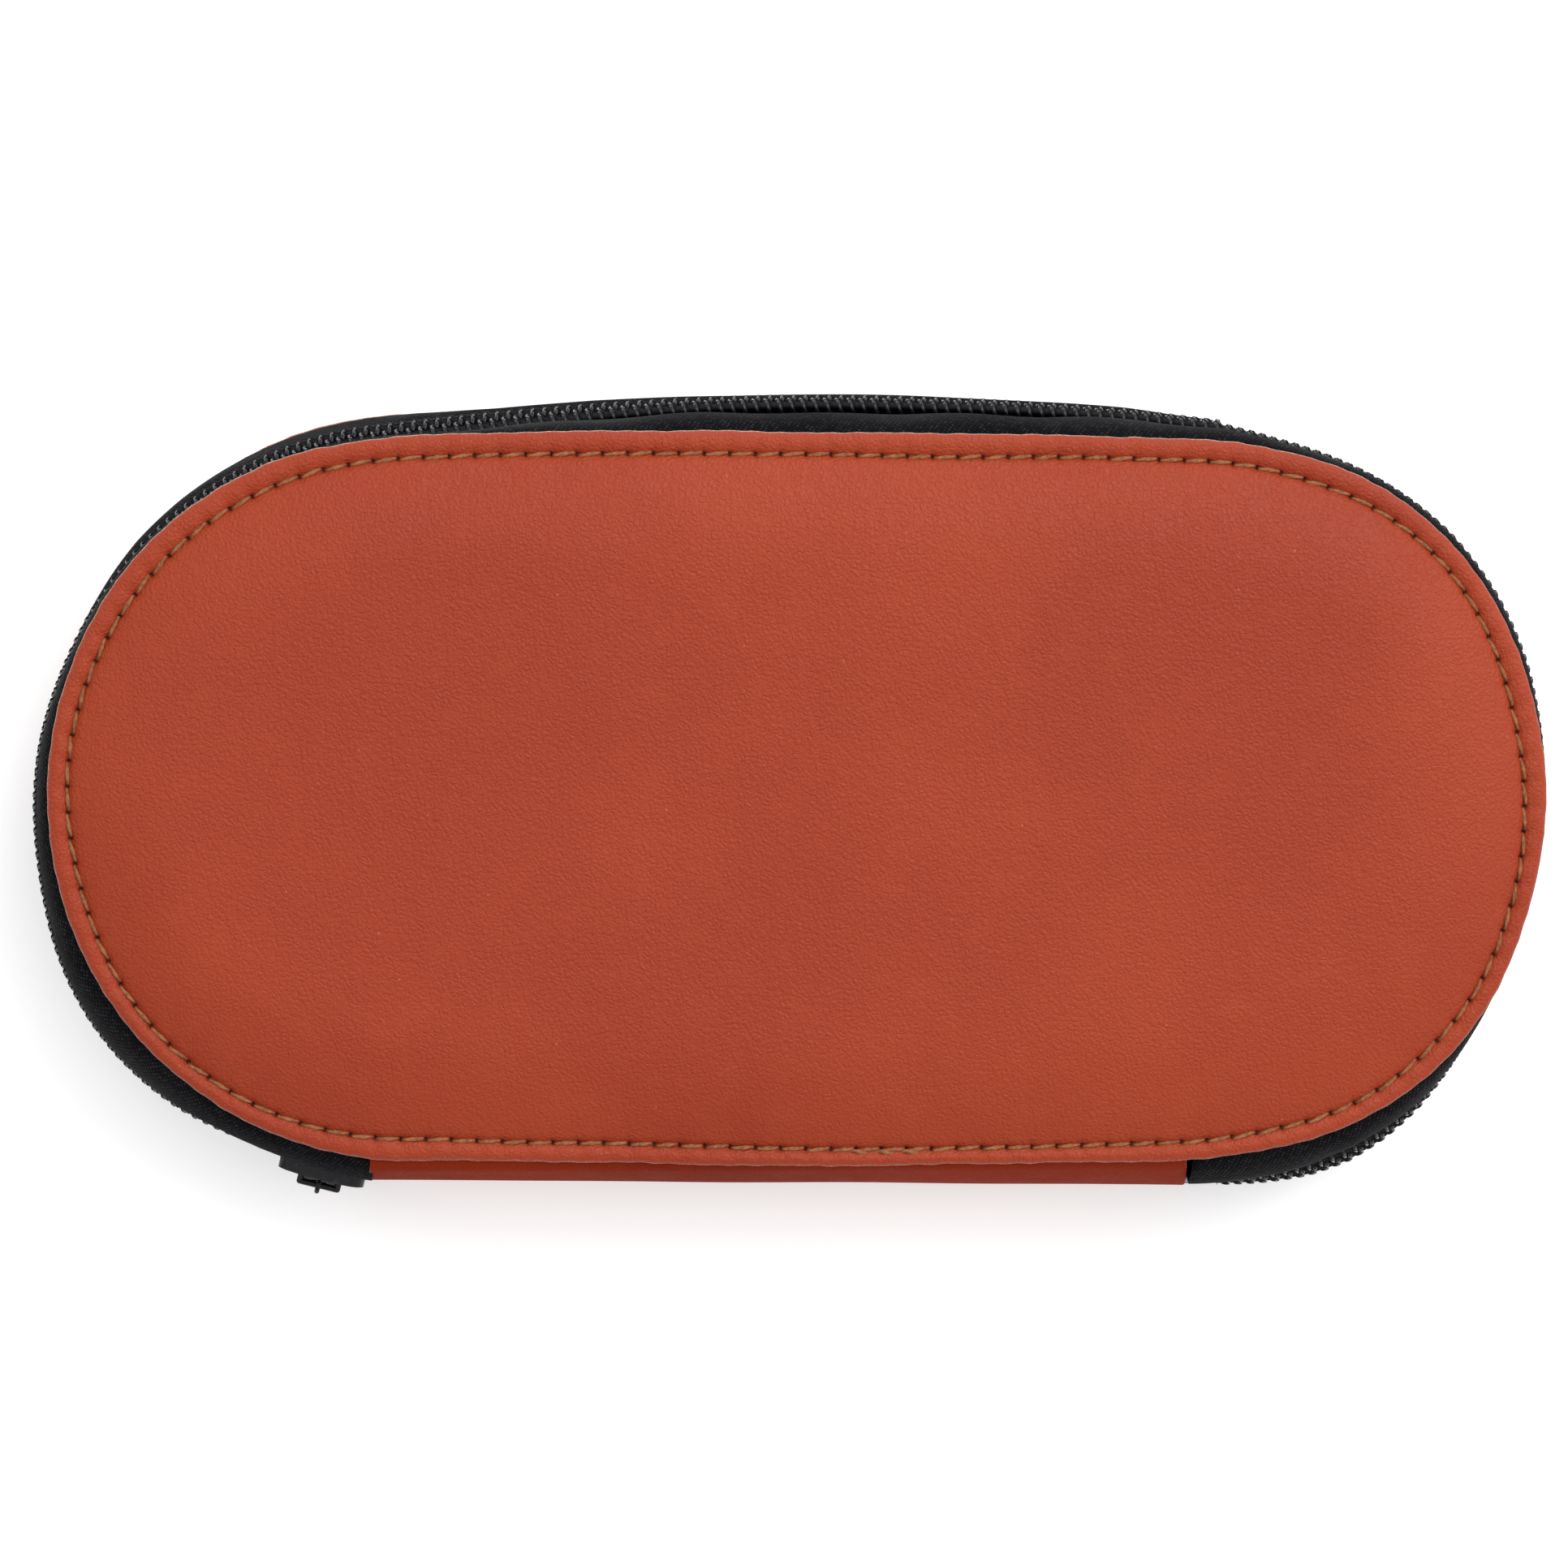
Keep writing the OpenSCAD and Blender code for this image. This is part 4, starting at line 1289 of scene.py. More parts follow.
@dataclass
class ZipCoil:
    """A nylon coil: one filament wound round and round along the tape's edge, each turn ending in a head."""

    half: Half
    pitch: float = 1.44
    wide: float = 3.3
    bite: float = 0.4
    sides: int = 6
    fine: float = 0.29
    cord_sides: int = 5
    cord_steps: int = 12
    slanting: tuple = ((0, 0.72, 1), (1.30, 0.22, 1.30))
    legs: tuple = ((0.1, 0.3, 0.5, 0.85, 1.3), (1.0, 1.32, 1.62, 1.80, 1.83))

    @property
    def shift(self) -> float:
        """How much of a turn this coil is set off, so that its heads lie between the other's."""
        return 0.5 if self.half is Half.FRONT else 0.0

    def turn(self) -> np.ndarray:
        """Gives one turn of the filament: along the chain, across from the heel, and out from the tape."""
        return np.array([(0.00, 0.85, 1.62), (0.03, 0.50, 1.50), (0.09, 0.31, 1.20), (0.18, 0.28, 0.84),
                         (0.27, 0.36, 0.50), (0.36, 0.80, 0.30), (0.44, 1.50, 0.28), (0.52, 2.20, 0.29),
                         (0.60, 2.75, 0.42), (0.68, 2.98, 0.72), (0.77, 3.01, 1.05), (0.86, 2.88, 1.40),
                         (0.92, 2.40, 1.62), (0.96, 1.85, 1.66), (0.985, 1.30, 1.65)])

    def filament(self, start: float, stop: float) -> np.ndarray:
        """Gives the filament's middle line, whose ends dive into the tape.

        Args:
            start: distance along the zip where it starts.
            stop: where it ends.

        Returns:
            Its points: along the zip, across it from the heel, and out from the tape.
        """
        turn = self.turn()
        first = math.ceil(start / self.pitch - self.shift)
        k = np.arange(self.count(start, stop))[:, None]
        along = ((first + k + self.shift) + turn[None, :, 0]) * self.pitch - 0.15 * self.pitch
        across = np.broadcast_to(turn[None, :, 1], along.shape)
        high = np.broadcast_to(turn[None, :, 2], along.shape)
        line = np.stack([along.ravel(), across.ravel(), high.ravel()], -1)
        return np.vstack([line[:1] + (-0.1, -0.35, -1.5), line, line[-1:] + (0.1, -0.9, -1.5)])

    def count(self, start: float, stop: float) -> int:
        """Gives the number of turns between two distances along the zip."""
        return int((stop - start) / self.pitch) - 1

    def spread(self, along: np.ndarray, across: np.ndarray, high: np.ndarray) -> np.ndarray:
        """Lays places of the coil along the zip, with its heel on the tape."""
        heel = self.wide - self.bite
        return ZIP.place(along, high - ZIP.coil_t, MIDDLE + self.half.sign * (heel - across))

    def build_stretch(self, start: float, stop: float, name: str, body: Half, finishes: Finishes,
                      node: str) -> None:
        """Makes the coil along a stretch of the zip.

        Args:
            start: distance along the zip where it starts.
            stop: where it ends.
            name: the piece's name.
            body: the half that it rides on.
            finishes: the case's finishes.
            node: the solid that it stands for.
        """
        line = self.filament(start, stop)
        step = np.gradient(line, axis=0)
        step /= np.linalg.norm(step, axis=1, keepdims=True)
        v = np.cross(step, np.array([1.0, 0.0, 0.0]))
        v /= np.linalg.norm(v, axis=1, keepdims=True) + 1e-9
        u = np.cross(v, step)
        ring = ring_turns(self.sides)
        flat = np.where(line[:, 1] > self.wide - 0.6, 1.22, 1.0) * self.fine
        tube = (line[:, None, :] + u[:, None, :] * (np.cos(ring)[None, :, None] * flat[:, None, None])
                + v[:, None, :] * (np.sin(ring)[None, :, None] * self.fine * 1.05))
        points = self.spread(tube[..., 0], tube[..., 1], tube[..., 2])
        coil = make_mesh(name, points.reshape(-1, 3), tube_faces(*points.shape[:2]), body, [finishes.nylon])
        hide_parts(node)
        LOG.info("%s: %d turns", name, self.count(start, stop))
        self.build_thread(start, stop, f"{name}_thread", body, finishes)

    def cords(self, s: np.ndarray, phase: np.ndarray) -> tuple:
        """Gives the two sewing threads over the coil's legs and the two strands of the cord inside it.

        Args:
            s: distances along the zip.
            phase: the coil's turn at each, in radians.

        Returns:
            For each cord its places across the coil, its heights and its half thickness.
        """
        part = (phase / math.tau + 0.35) % 1
        lying = np.interp(part, *self.slanting)
        above = np.interp(lying, *self.legs)
        above = above - 0.42 * smooth(0.70, 0.84, part) * smooth(1.0, 0.92, part)
        wave = 1.66 + 0.24 * np.cos(phase + 0.4)
        return ((lying, above, 0.16), (2.05 + 0.08 * np.sin(phase), wave, 0.13),
                (1.45 + 0 * s, 1.04 + 0 * s, 0.62), (0.64 + 0 * s, 1.27 + 0 * s, 0.42))

    def build_thread(self, start: float, stop: float, name: str, body: Half, finishes: Finishes) -> None:
        """Makes the sewing threads over the coil's legs and the cord inside it.

        Args:
            start: distance along the zip where it starts.
            stop: where it ends.
            name: the piece's name.
            body: the half that it rides on.
            finishes: the case's finishes.
        """
        steps, sides = int((stop - start) / self.pitch * self.cord_steps), self.cord_sides
        s = np.linspace(start + 0.6, stop - 0.6, steps)
        phase = (s / self.pitch - self.shift) * math.tau
        ring = ring_turns(sides)
        cords = self.cords(s, phase)
        points, faces = [], []
        for row, (across, high, thick) in enumerate(cords):
            rr = high[:, None] + thick * np.sin(ring)[None, :]
            zz = MIDDLE + self.half.sign * (self.wide - self.bite - across[:, None])
            zz = zz + 1.2 * thick * np.cos(ring)[None, :]
            p = ZIP.place(np.broadcast_to(s[:, None], rr.shape), rr - ZIP.coil_t, zz)
            faces += tube_faces(steps, sides, row * steps * sides)
            points.append(p.reshape(-1, 3))
        run = np.stack([np.tile(np.repeat(s, sides), len(cords)),
                        np.tile(ring * 0.15, len(cords) * steps)], -1)
        thread = make_mesh(name, np.concatenate(points), faces, body, [finishes.black_thread], run=run)


@dataclass
class ZipFastener:
    """The whole zip: two tapes, two coils, the end stop and the metal parts of the frame."""

    parted_from: float = 23.6
    closed_from: float = 13.9
    end_gap: float = 3.9
    park_gap: float = 0.5
    stop_from_end: float = 1.5
    stop_half_long: float = 1.1
    stop_half_wide: float = 2.8
    stop_bulge: float = 0.35
    stop_layers: tuple = (0.35, 1.35)

    def build(self, finishes: Finishes) -> None:
        """Makes the zip.

        Args:
            finishes: the case's finishes.
        """
        for half in Half:
            ZipTape(half).build(finishes)
        park = ZIP.at_turn(self.parted_from)
        begin = ZIP.at_turn(self.closed_from)
        end = ZIP.length - self.end_gap
        back, front = ZipCoil(Half.BACK), ZipCoil(Half.FRONT)
        back.build_stretch(begin, end, "back_nylon_coil", Half.BACK, finishes, "back_coil")
        front.build_stretch(park, end, "front_nylon_coil", Half.FRONT, finishes, "front_coil")
        front.build_stretch(begin, park - self.park_gap, "front_nylon_parked_end", Half.BACK, finishes,
                            "front_coil_end")
        self.build_stop(finishes)
        for node in ("slider_body", "pull_tab", "top_stops"):
            refinish(node, finishes.metal)
        LOG.info("zip: tapes, coils, stop and metal parts")

    def build_stop(self, finishes: Finishes) -> None:
        """Makes the bent staple over both tapes at the far end of the chain."""
        along = np.linspace(-self.stop_half_long, self.stop_half_long, 9)
        up = np.linspace(-self.stop_half_wide, self.stop_half_wide, 15)
        s = (ZIP.length - self.stop_from_end + along)[:, None, None]
        z = (MIDDLE + up)[None, :, None]
        bulge = self.stop_bulge * np.cos(up / self.stop_half_wide * math.pi / 2)[None, :, None] ** 0.5
        rounded = np.sqrt(np.clip(1 - (np.abs(along) / 1.25) ** 4, 0, 1))[:, None, None]
        layers = np.array(self.stop_layers)[None, None, :]
        r = layers - ZIP.coil_t + (bulge * rounded + 0.25 * rounded - 0.25) * (layers > 1)
        points = ZIP.place(np.broadcast_to(s, r.shape), r, np.broadcast_to(z, r.shape))
        a, b = len(along), len(up)
        lower, upper = points[:, :, 0].reshape(-1, 3), points[:, :, 1].reshape(-1, 3)
        faces = grid_faces(a, b) + [face[::-1] for face in grid_faces(a, b, first=a * b)] + rim_faces(a, b)
        stop = make_mesh("chain_end_staple", np.concatenate([lower, upper]), faces, "spine", [finishes.metal])
        sharpen(stop)
        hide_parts("chain_stop")


@dataclass
class HingeStrip:
    """The leather strip that joins the halves, folded at both edges, and its lining."""

    left: float = -51.8
    right: float = 45.65
    thick: float = 1.0
    rows: int = 130
    points_across: int = 42
    backing: float = 0.55
    bow: float = 1.25
    without_pits: float = 60.0
    knots: tuple = ((-39.6, 4.0), (-41.8, 4.0), (-43.3, 4.1), (-44.35, 4.75), (-45.2, 6.4), (-46.1, 8.6),
                    (-46.9, 11.0), (-47.4, 13.2), (-47.55, 15.0))
    lining_low: float = 7.2
    lining_high: float = 22.8
    lining_y: float = -43.0
    lining_bow: float = 3.0
    lining_t: float = 0.45

    def section(self) -> np.ndarray:
        """Gives the strip's middle line from under the back rim to the middle: places across, heights."""
        knots = np.array(self.knots)
        ends = np.vstack([2 * knots[0] - knots[1], knots, [knots[-1][0] + 0.15, 16.8]])
        return smooth_line(ends[None], self.points_across)[0]

    def lean(self, x: np.ndarray) -> np.ndarray:
        """Gives how far inwards the strip's middle is pulled, which grows towards its left end."""
        return 0.55 - 0.75 * x / 46

    def points(self) -> np.ndarray:
        """Gives the back half's vertices: by layer from the inside out, along the strip and across it."""
        line = self.section()
        step = np.gradient(line, axis=0)
        side = np.stack([step[:, 1], -step[:, 0]], -1)
        side /= np.linalg.norm(side, axis=1, keepdims=True)
        x = np.linspace(self.left, self.right, self.rows)
        dip = (0.08 * unevenness(x, x * 0, 40, 31) + self.lean(x))[:, None]
        dip = dip * np.sin(np.linspace(0, math.pi / 2, len(line)))[None, :] ** 2
        layers = []
        for offset in (-self.thick / 2, self.thick / 2 - self.backing, self.thick / 2):
            yz = line + side * offset
            y = yz[None, :, 0] + dip
            z = np.broadcast_to(yz[None, :, 1], y.shape)
            cut = 0.05 * unevenness(x[:, None], z * 3, 9, 33) * (np.abs(x[:, None]) > 40)
            layers.append(np.stack([np.broadcast_to(x[:, None], y.shape) + cut, y, z], -1))
        points = np.stack(layers, 0)
        rise = np.sin(np.clip((points[..., 2] - 2.5) / 12.5, 0, 1) * math.pi / 2)
        points[..., 0] += self.bow * smooth(30, 46, points[..., 0]) * rise
        return points

    def faces(self, n: int, m: int) -> tuple:
        """Lists the faces of one half, and the material of each: lining, cut edge or leather.

        Args:
            n: number of vertices along the strip.
            m: number of vertices across it.

        Returns:
            The faces and their material indices.
        """

        def wall(layer: int, one: tuple, two: tuple) -> list:
            """Gives the face between two places of a layer and the next layer."""
            p, q = (layer * n * m + i * m + j for i, j in (one, two))
            return [p, q, q + n * m, p + n * m]

        faces, slots = [], []
        for layer in (0, 2):
            faces += grid_faces(n, m, first=layer * n * m)
            slots += [layer] * ((n - 1) * (m - 1))
        for layer in (0, 1):
            for i in (0, n - 1):
                faces += [wall(layer, (i, j), (i, j + 1)) for j in range(m - 1)]
                slots += [1] * (m - 1)
            for j in (0, m - 1):
                faces += [wall(layer, (i, j), (i + 1, j)) for i in range(n - 1)]
                slots += [layer] * (n - 1)
        return faces, slots

    def build_half(self, half: Half, finishes: Finishes) -> None:
        """Makes the half of the strip between one cover and the strip's middle.

        Args:
            half: the half of the case.
            finishes: the case's finishes.
        """
        front = half is Half.FRONT
        points = self.points()
        if front:
            points[..., 2] = CASE_T - points[..., 2]
        faces, slots = self.faces(*points.shape[1:3])
        # The leather gets painted shade where its run is above zero, as in a needle hole, and the strip has
        # none.
        run = points[..., (0, 2)].reshape(-1, 2) - (self.without_pits, 0)
        strip = make_mesh(f"{half.label}_strip_leather", points.reshape(-1, 3), faces, "",
                          [finishes.strip, finishes.edge, finishes.lining], slots, run=run)
        sharpen(strip, 50)
        if front:
            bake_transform(strip)
            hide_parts("front_strip_flap")
        else:
            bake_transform(strip)
            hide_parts("back_strip_flap", "hinge_strip")

    def build(self, finishes: Finishes) -> None:
        """Makes the strip and its lining.

        Args:
            finishes: the case's finishes.
        """
        for half in Half:
            self.build_half(half, finishes)
        self.build_lining(finishes)
        LOG.info("strip: two leather halves and a lining")

    def build_lining(self, finishes: Finishes) -> None:
        """Makes the cloth inside the strip."""
        x = np.linspace(self.left + 1, self.right - 1, 90)
        z = np.linspace(self.lining_low, self.lining_high, 24)
        bow = self.lining_bow * np.cos((z - MIDDLE) / 9.7 * math.pi / 2)
        ripple = 0.12 * unevenness(x[:, None], z[None, :] * 2, 12, 35)
        y = self.lining_y - bow + ripple + self.lean(x)[:, None].clip(0)
        along, high = np.broadcast_to(x[:, None], y.shape), np.broadcast_to(z, y.shape)
        sheets = [np.stack([along, y + off, high], -1) for off in (0.0, self.lining_t)]
        points = np.concatenate([s.reshape(-1, 3) for s in sheets])
        n, m = y.shape
        faces = grid_faces(n, m) + grid_faces(n, m, first=n * m) + rim_faces(n, m)
        run = np.tile(np.stack([along, high], -1).reshape(-1, 2), (2, 1))
        cloth = make_mesh("strip_cloth_lining", points, faces, "spine", [finishes.lining], run=run)
        sharpen(cloth, 60)
        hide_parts("hinge_lining")


@dataclass
class Lining:
    """The cloth lining glued inside one half, with a turned hem."""

    half: Half
    radius: float = 41.4
    low: float = 4.3
    thick: float = 0.7
    count: int = 360

    def build(self, finishes: Finishes) -> None:
        """Makes the lining.

        Args:
            finishes: the case's finishes.
        """
        share = np.arange(self.count) / self.count
        foot, out = OUTLINE.around(share, self.radius)
        seed = 51 if self.half is Half.FRONT else 52
        rings = []
        top = self.low + self.thick
        plan = [(r, top) for r in (0, 6, 12, 18, 24, 29, 33, 36, 38, 39.2)]
        plan += [(39.7, top - 0.06), (40.2, top + 0.02), (41.0, top), (self.radius, top - 0.22)]
        plan += [(self.radius, self.low + 0.15), (41.1, self.low)]
        plan += [(r, self.low) for r in (30, 15, 0)]
        for r, level in plan:
            xy = foot + out * r
            ripple = 0.10 * unevenness(xy[:, 0], xy[:, 1], 30, seed) * (r < 39) * (level > self.low + 0.4)
            z = level + np.minimum(ripple, 0)
            z = CASE_T - z if self.half is Half.FRONT else z
            rings.append(np.column_stack([xy, z]))
        rings = np.array(rings)
        name = self.half.label
        points, faces = rings.reshape(-1, 3), grid_faces(*rings.shape[:2], ring_cols=True)
        cloth = make_mesh(f"{name}_cloth_lining", points, faces, self.half, [finishes.lining],
                          run=points[:, :2])
        # Welded along the middle line, where its first and last rings meet.
        tidy_mesh(cloth.data, True)
        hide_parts(f"{name}_lining")
        refinish(f"{name}_board", finishes.board)
        LOG.info("%s: lining and board", name)


@dataclass
class ToolBand:
    """The elastic that holds the tools: sewn flat between the loops and arched over each tool."""

    loops: int = 8
    step: float = 14.0
    inner: float = 4.1
    thick: float = 0.7
    wide: float = 20.0
    leg: float = 1.2
    base: float = 5.0
    rows: int = 21
    bar_long: float = 18.0
    bar_wide: float = 1.3
    bar_zigs: int = 36
    bar_steps: int = 150
    bar_sides: int = 6

    def line(self) -> np.ndarray:
        """Gives the elastic's middle line, as places along the case and heights."""
        r = self.inner + self.thick / 2
        half = self.loops * self.step / 2
        made = [(-half + 0.2, self.thick / 2)]
        for k in range(self.loops):
            c = (k + 0.5) * self.step - half
            foot = [(r + 1.4, self.thick / 2), (r + 0.45, self.thick / 2 + 0.05), (r + 0.06, 0.9)]
            made += [(c - x, z) for x, z in foot]
            made += [(c - r * math.cos(t), self.leg + r * math.sin(t))
                     for t in np.linspace(0.02, math.pi - 0.02, 20)]
            made += [(c + x, z) for x, z in foot[::-1]]
        made.append((half - 0.2, self.thick / 2))
        return np.array(made)

    def build(self, finishes: Finishes) -> None:
        """Makes the elastic and its bar stitches.

        Args:
            finishes: the case's finishes.
        """
        line = self.line()
        step = np.gradient(line, axis=0)
        side = np.stack([-step[:, 1], step[:, 0]], -1)
        side /= np.linalg.norm(side, axis=1, keepdims=True)
        along = np.concatenate([[0], np.cumsum(np.linalg.norm(np.diff(line, axis=0), axis=1))])
        y = np.linspace(-self.wide / 2, self.wide / 2, self.rows)
        section = np.concatenate([line + side * self.thick / 2, (line - side * self.thick / 2)[::-1]])
        run_s = np.concatenate([along, along[::-1]])
        soft = 1 - 0.05 * (np.abs(y) / 10) ** 6
        shape = (self.rows, len(section))
        points = np.stack([np.broadcast_to(section[None, :, 0], shape), np.broadcast_to(y[:, None], shape),
                           self.base + np.maximum(section[None, :, 1], 0.02) * soft[:, None]], -1)
        run = np.stack([np.broadcast_to(run_s, points.shape[:2]), points[..., 1]], -1)
        band = make_mesh("elastic_tool_band", points.reshape(-1, 3), band_faces(*shape), Half.BACK,
                         [finishes.elastic], run=run.reshape(-1, 2))
        sharpen(band, 50)
        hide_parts("tool_band")
        self.build_bars(finishes)
        LOG.info("tool band: %d loops", self.loops)

    def build_bars(self, finishes: Finishes) -> None:
        """Makes the zigzag bars of thread that tack the elastic down between the loops."""
        half = self.loops * self.step / 2
        points, faces, runs = [], [], []
        ring = ring_turns(self.bar_sides)
        t = np.linspace(0, 1, self.bar_steps)
        zig = 2 * np.abs((t * self.bar_zigs) % 1 - 0.5)
        y = -self.bar_long / 2 + self.bar_long * t
        for k in range(self.loops + 1):
            x = np.clip(k * self.step - half, -half + 1.6, half - 1.6) + (zig - 0.5) * self.bar_wide
            p = np.stack([x[:, None] + 0 * ring, y[:, None] + 0.12 * np.cos(ring),
                          self.base + self.thick + 0.05 + 0.1 * np.sin(ring) + 0 * x[:, None]], -1)
            points.append(p.reshape(-1, 3))
            runs.append(np.stack([np.repeat(t * 60, self.bar_sides), np.tile(ring * 0.15, len(t))], -1))
            faces += tube_faces(len(t), self.bar_sides, k * len(t) * self.bar_sides)
        bars = make_mesh("tool_band_bar_tacks", np.concatenate(points), faces, Half.BACK,
                         [finishes.black_thread], run=np.concatenate(runs))


@dataclass
class LidPocket:
    """The slip pocket inside the lid and the binding along its mouth."""

    length: float = 116.0
    height: float = 44.0
    corner: float = 12.0
    top: float = 25.0
    rise: float = 0.3
    thick: float = 0.7
    binding_h: float = 6.0
    binding_t: float = 0.8
    count: int = 300

    def outline(self, margin: float, n: int) -> np.ndarray:
        """Gives the pocket's outline.

        Args:
            margin: how far inside its edge.
            n: number of points.

        Returns:
            The points, starting at the mouth's left corner.
        """
        hx, hy, c = self.length / 2 - margin, self.height / 2, self.corner
        low = -hy + margin
        turn = np.linspace(0, math.pi / 2, 14)
        left = [(-hx + c - c * math.cos(t), low + c - c * math.sin(t)) for t in turn]
        right = [(hx - c + c * math.sin(t), low + c - c * math.cos(t)) for t in turn]
        corners = np.array([(-hx, hy)] + left + right + [(hx, hy), (-hx, hy)])
        walk = np.concatenate([[0], np.cumsum(np.linalg.norm(np.diff(corners, axis=0), axis=1))])
        u = np.linspace(0, walk[-1], n, endpoint=False)
        return np.stack([np.interp(u, walk, corners[:, k]) for k in (0, 1)], -1)

    def build(self, finishes: Finishes) -> None:
        """Makes the pocket and its binding.

        Args:
            finishes: the case's finishes.
        """
        n = self.count
        plan = [(0, 0.0), (0, 0.75), (0.25, 0.95), (1.0, 1.0), (2.2, 0.96), (2.5, 0.9), (2.9, 0.97),
                (3.6, 1.0)]
        rings = [np.column_stack([self.outline(margin, n), np.full(n, level)]) for margin, level in plan]
        inner = rings[-1][:, :2]
        for share in (0.86, 0.66, 0.44, 0.22, 0.0):
            xy = inner * share
            soft = 0.12 * unevenness(xy[:, 0], xy[:, 1], 30, 61)
            rings.append(np.column_stack([xy, 1.0 - np.abs(soft)]))
        rings += [np.column_stack([self.outline(0, n) * share, np.zeros(n)]) for share in (0.0, 0.5, 0.95)]
        rings = np.array(rings)
        rings[..., 2] = self.top - rings[..., 2] * (self.rise + self.thick)
        faces = grid_faces(*rings.shape[:2], ring_rows=True, ring_cols=True)
        pocket = make_mesh("lid_slip_pocket", rings.reshape(-1, 3), faces, Half.FRONT, [finishes.lining],
                           run=rings.reshape(-1, 3)[:, :2], weld=True)
        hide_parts("lid_pocket")
        self.build_binding(finishes)
        LOG.info("lid pocket and binding")

    def build_binding(self, finishes: Finishes) -> None:
        """Makes the folded binding, rounded over its two edges."""
        x = np.linspace(-self.length / 2, self.length / 2, 90)
        y1, y0 = self.height / 2, self.height / 2 - self.binding_h
        turn = np.linspace(0, math.pi / 2, 6)
        t = self.binding_t
        section = [(y0 + t - t * math.cos(a), t * math.sin(a)) for a in turn]
        section += [(y, t) for y in np.linspace(y0 + t, y1 - t, 9)[1:-1]]
        section += [(y1 - t + t * math.sin(a), t * math.cos(a)) for a in turn]
        section += [(y, 0.0) for y in np.linspace(y1 - 0.4, y0 + 0.4, 6)]
        section = np.array(section)
        z0 = self.top - self.rise - self.thick
        wave = 0.05 * unevenness(x[:, None], section[None, :, 0] * 2, 11, 63)
        depth = section[None, :, 1]
        points = np.stack([np.broadcast_to(x[:, None], wave.shape),
                           np.broadcast_to(section[None, :, 0], wave.shape),
                           z0 - depth - np.where(depth > 0.1, wave - 0.03, 0)], -1)
        binding = make_mesh("pocket_mouth_binding", points.reshape(-1, 3), tube_faces(*points.shape[:2]),
                            Half.FRONT, [finishes.binding], run=points[..., :2].reshape(-1, 2))
        sharpen(binding, 60)
        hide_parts("pocket_binding")


# ---------------------------------------------------------------- studio


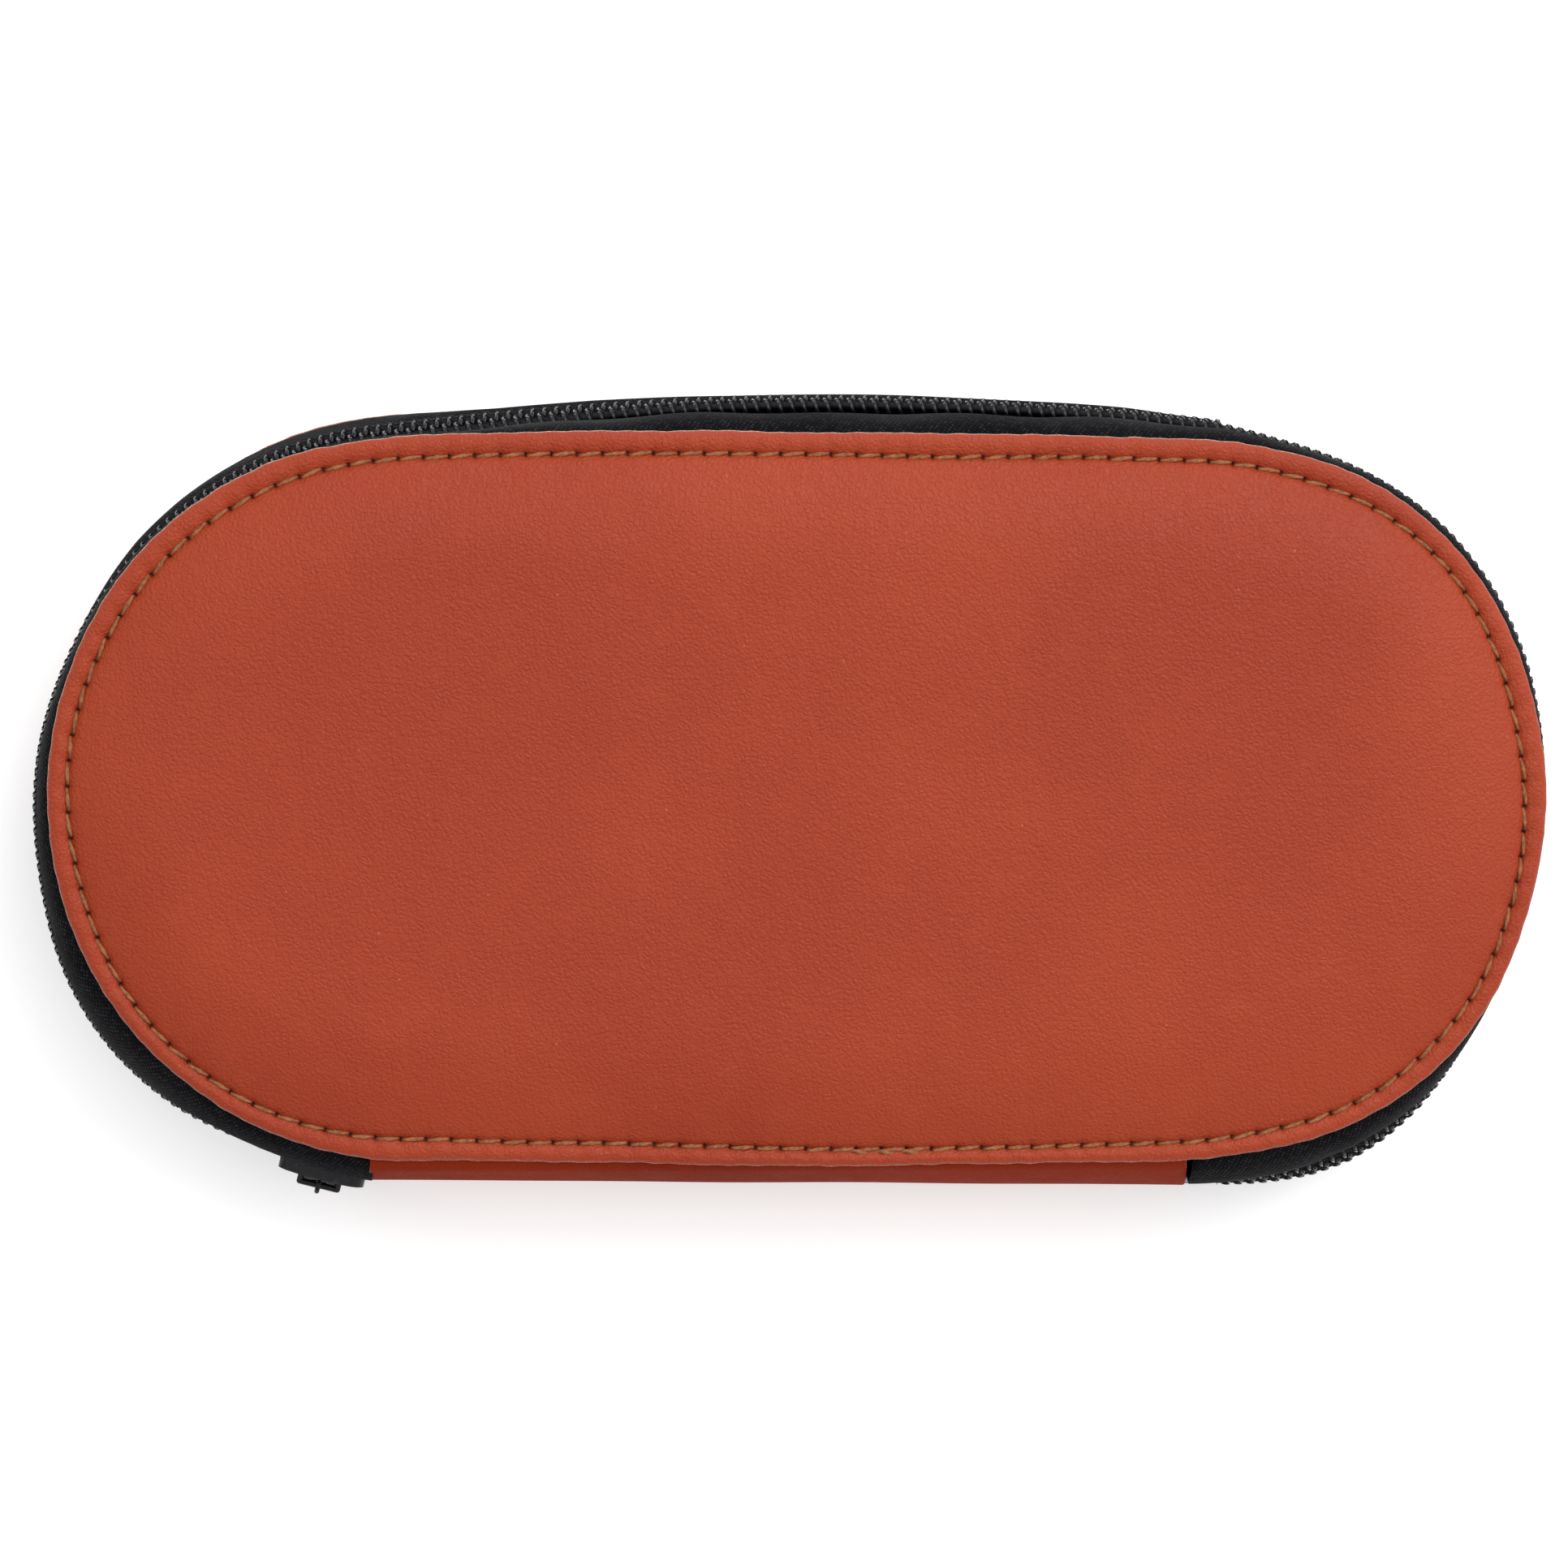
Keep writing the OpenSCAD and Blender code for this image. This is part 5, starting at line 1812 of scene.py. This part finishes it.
@dataclass
class Studio:
    """The camera, floor and lights: a pale floor in even soft light, seen from above."""

    stand: float = 600.0
    rim_z: float = 27.5
    frame_width: float = 185.9
    sensor: float = 36.0
    floor_half: float = 3.0
    floor_z: float = -0.0001
    aim: tuple = (-2.63, 1.54)
    left: float = 44.0
    up: float = 31.0
    table_glow: float = 0.30
    sky: tuple = (0.46, 1.20)
    sky_from: tuple = (0.60, 0.75, 0.28)

    def build_camera(self) -> None:
        """Makes the camera, nearly square on above the front panel."""
        data = bpy.data.cameras.new("camera")
        camera = bpy.data.objects.new("camera", data)
        bpy.context.scene.collection.objects.link(camera)
        target = Vector((self.aim[0], self.aim[1], self.rim_z)) * MM
        camera.location = target + Vector((-self.left, self.up, self.stand)) * MM
        view = target - camera.location
        right = view.cross(Vector((0, 1, 0))).normalized()
        camera.rotation_mode = "QUATERNION"
        turned = Matrix((right, right.cross(view).normalized(), -view.normalized())).transposed()
        camera.rotation_quaternion = turned.to_quaternion()
        data.sensor_width = self.sensor
        data.lens = self.sensor * view.length / (self.frame_width * MM)
        data.clip_start, data.clip_end = 0.01, 10
        bpy.context.scene.camera = camera

    def build_floor(self) -> None:
        """Makes the pale floor."""
        s = Shader("pale_floor")
        s.put("Base Color", (0.93, 0.93, 0.93, 1))
        s.put("Roughness", 0.9)
        s.put("Emission Color", (1, 1, 1, 1))
        s.put("Emission Strength", self.table_glow)
        mesh = bpy.data.meshes.new("studio_floor")
        h = self.floor_half
        spots = [(x, y, self.floor_z) for x, y in ((-h, -h), (h, -h), (h, h), (-h, h))]
        mesh.from_pydata(spots, [], [(0, 1, 2, 3)])
        mesh.materials.append(s.material)
        floor = bpy.data.objects.new("studio_floor", mesh)
        bpy.context.scene.collection.objects.link(floor)

    def light(self, name: str, place: tuple, size: float, power: float, colour: tuple = (1, 1, 1)) -> None:
        """Hangs a soft light that faces the case.

        Args:
            name: its name.
            place: where it hangs, in metres.
            size: the side of its square, in metres.
            power: its power, in watts.
            colour: its colour.
        """
        data = bpy.data.lights.new(name, "AREA")
        data.size, data.energy, data.color = size, power, colour
        lamp = bpy.data.objects.new(name, data)
        lamp.location = place
        lamp.rotation_mode = "QUATERNION"
        lamp.rotation_quaternion = (-Vector(place)).to_track_quat("-Z", "Y")
        bpy.context.scene.collection.objects.link(lamp)

    def build_sky(self) -> None:
        """Makes the soft light all round, brighter from the upper right."""
        world = bpy.data.worlds.new("soft_daylight")
        bpy.context.scene.world = world
        world.use_nodes = True
        tree = world.node_tree
        along = tree.nodes.new("ShaderNodeVectorMath")
        along.operation = "DOT_PRODUCT"
        along.inputs[1].default_value = self.sky_from
        tree.links.new(tree.nodes.new("ShaderNodeTexCoord").outputs["Generated"], along.inputs[0])
        share = tree.nodes.new("ShaderNodeMapRange")
        numbers = {"From Min": -0.8, "From Max": 0.9, "To Min": self.sky[0], "To Max": self.sky[1]}
        for key, number in numbers.items():
            share.inputs[key].default_value = number
        tree.links.new(along.outputs["Value"], share.inputs["Value"])
        tree.links.new(share.outputs[0], tree.nodes["Background"].inputs["Strength"])
        tree.nodes["Background"].inputs["Color"].default_value = (1, 1, 1, 1)

    def build(self) -> None:
        """Makes the studio."""
        scene = bpy.context.scene
        self.build_sky()
        scene.view_settings.view_transform = "Standard"
        self.build_camera()
        self.build_floor()
        self.light("key_light", (0.55, 0.70, 1.0), 1.0, 8.5)
        self.light("fill_light", (-0.5, 0.3, 1.1), 1.0, 1.7)
        LOG.info("studio: camera, floor and lights")


# ---------------------------------------------------------------- the whole case


def corners(box: tuple) -> list:
    """Gives a box's lowest and highest corner as plain lists."""
    return [list(map(float, corner)) for corner in box]


def main() -> None:
    """Builds the case in order."""
    logging.basicConfig(level=logging.INFO, format="%(name)s: %(message)s")
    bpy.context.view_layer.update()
    Studio().build()
    finishes = Finishes()
    for half in Half:
        PaddedCover(half).build(finishes)
        Lining(half).build(finishes)
    ZipFastener().build(finishes)
    HingeStrip().build(finishes)
    ToolBand().build(finishes)
    LidPocket().build(finishes)


if __name__ == "__main__":
    main()
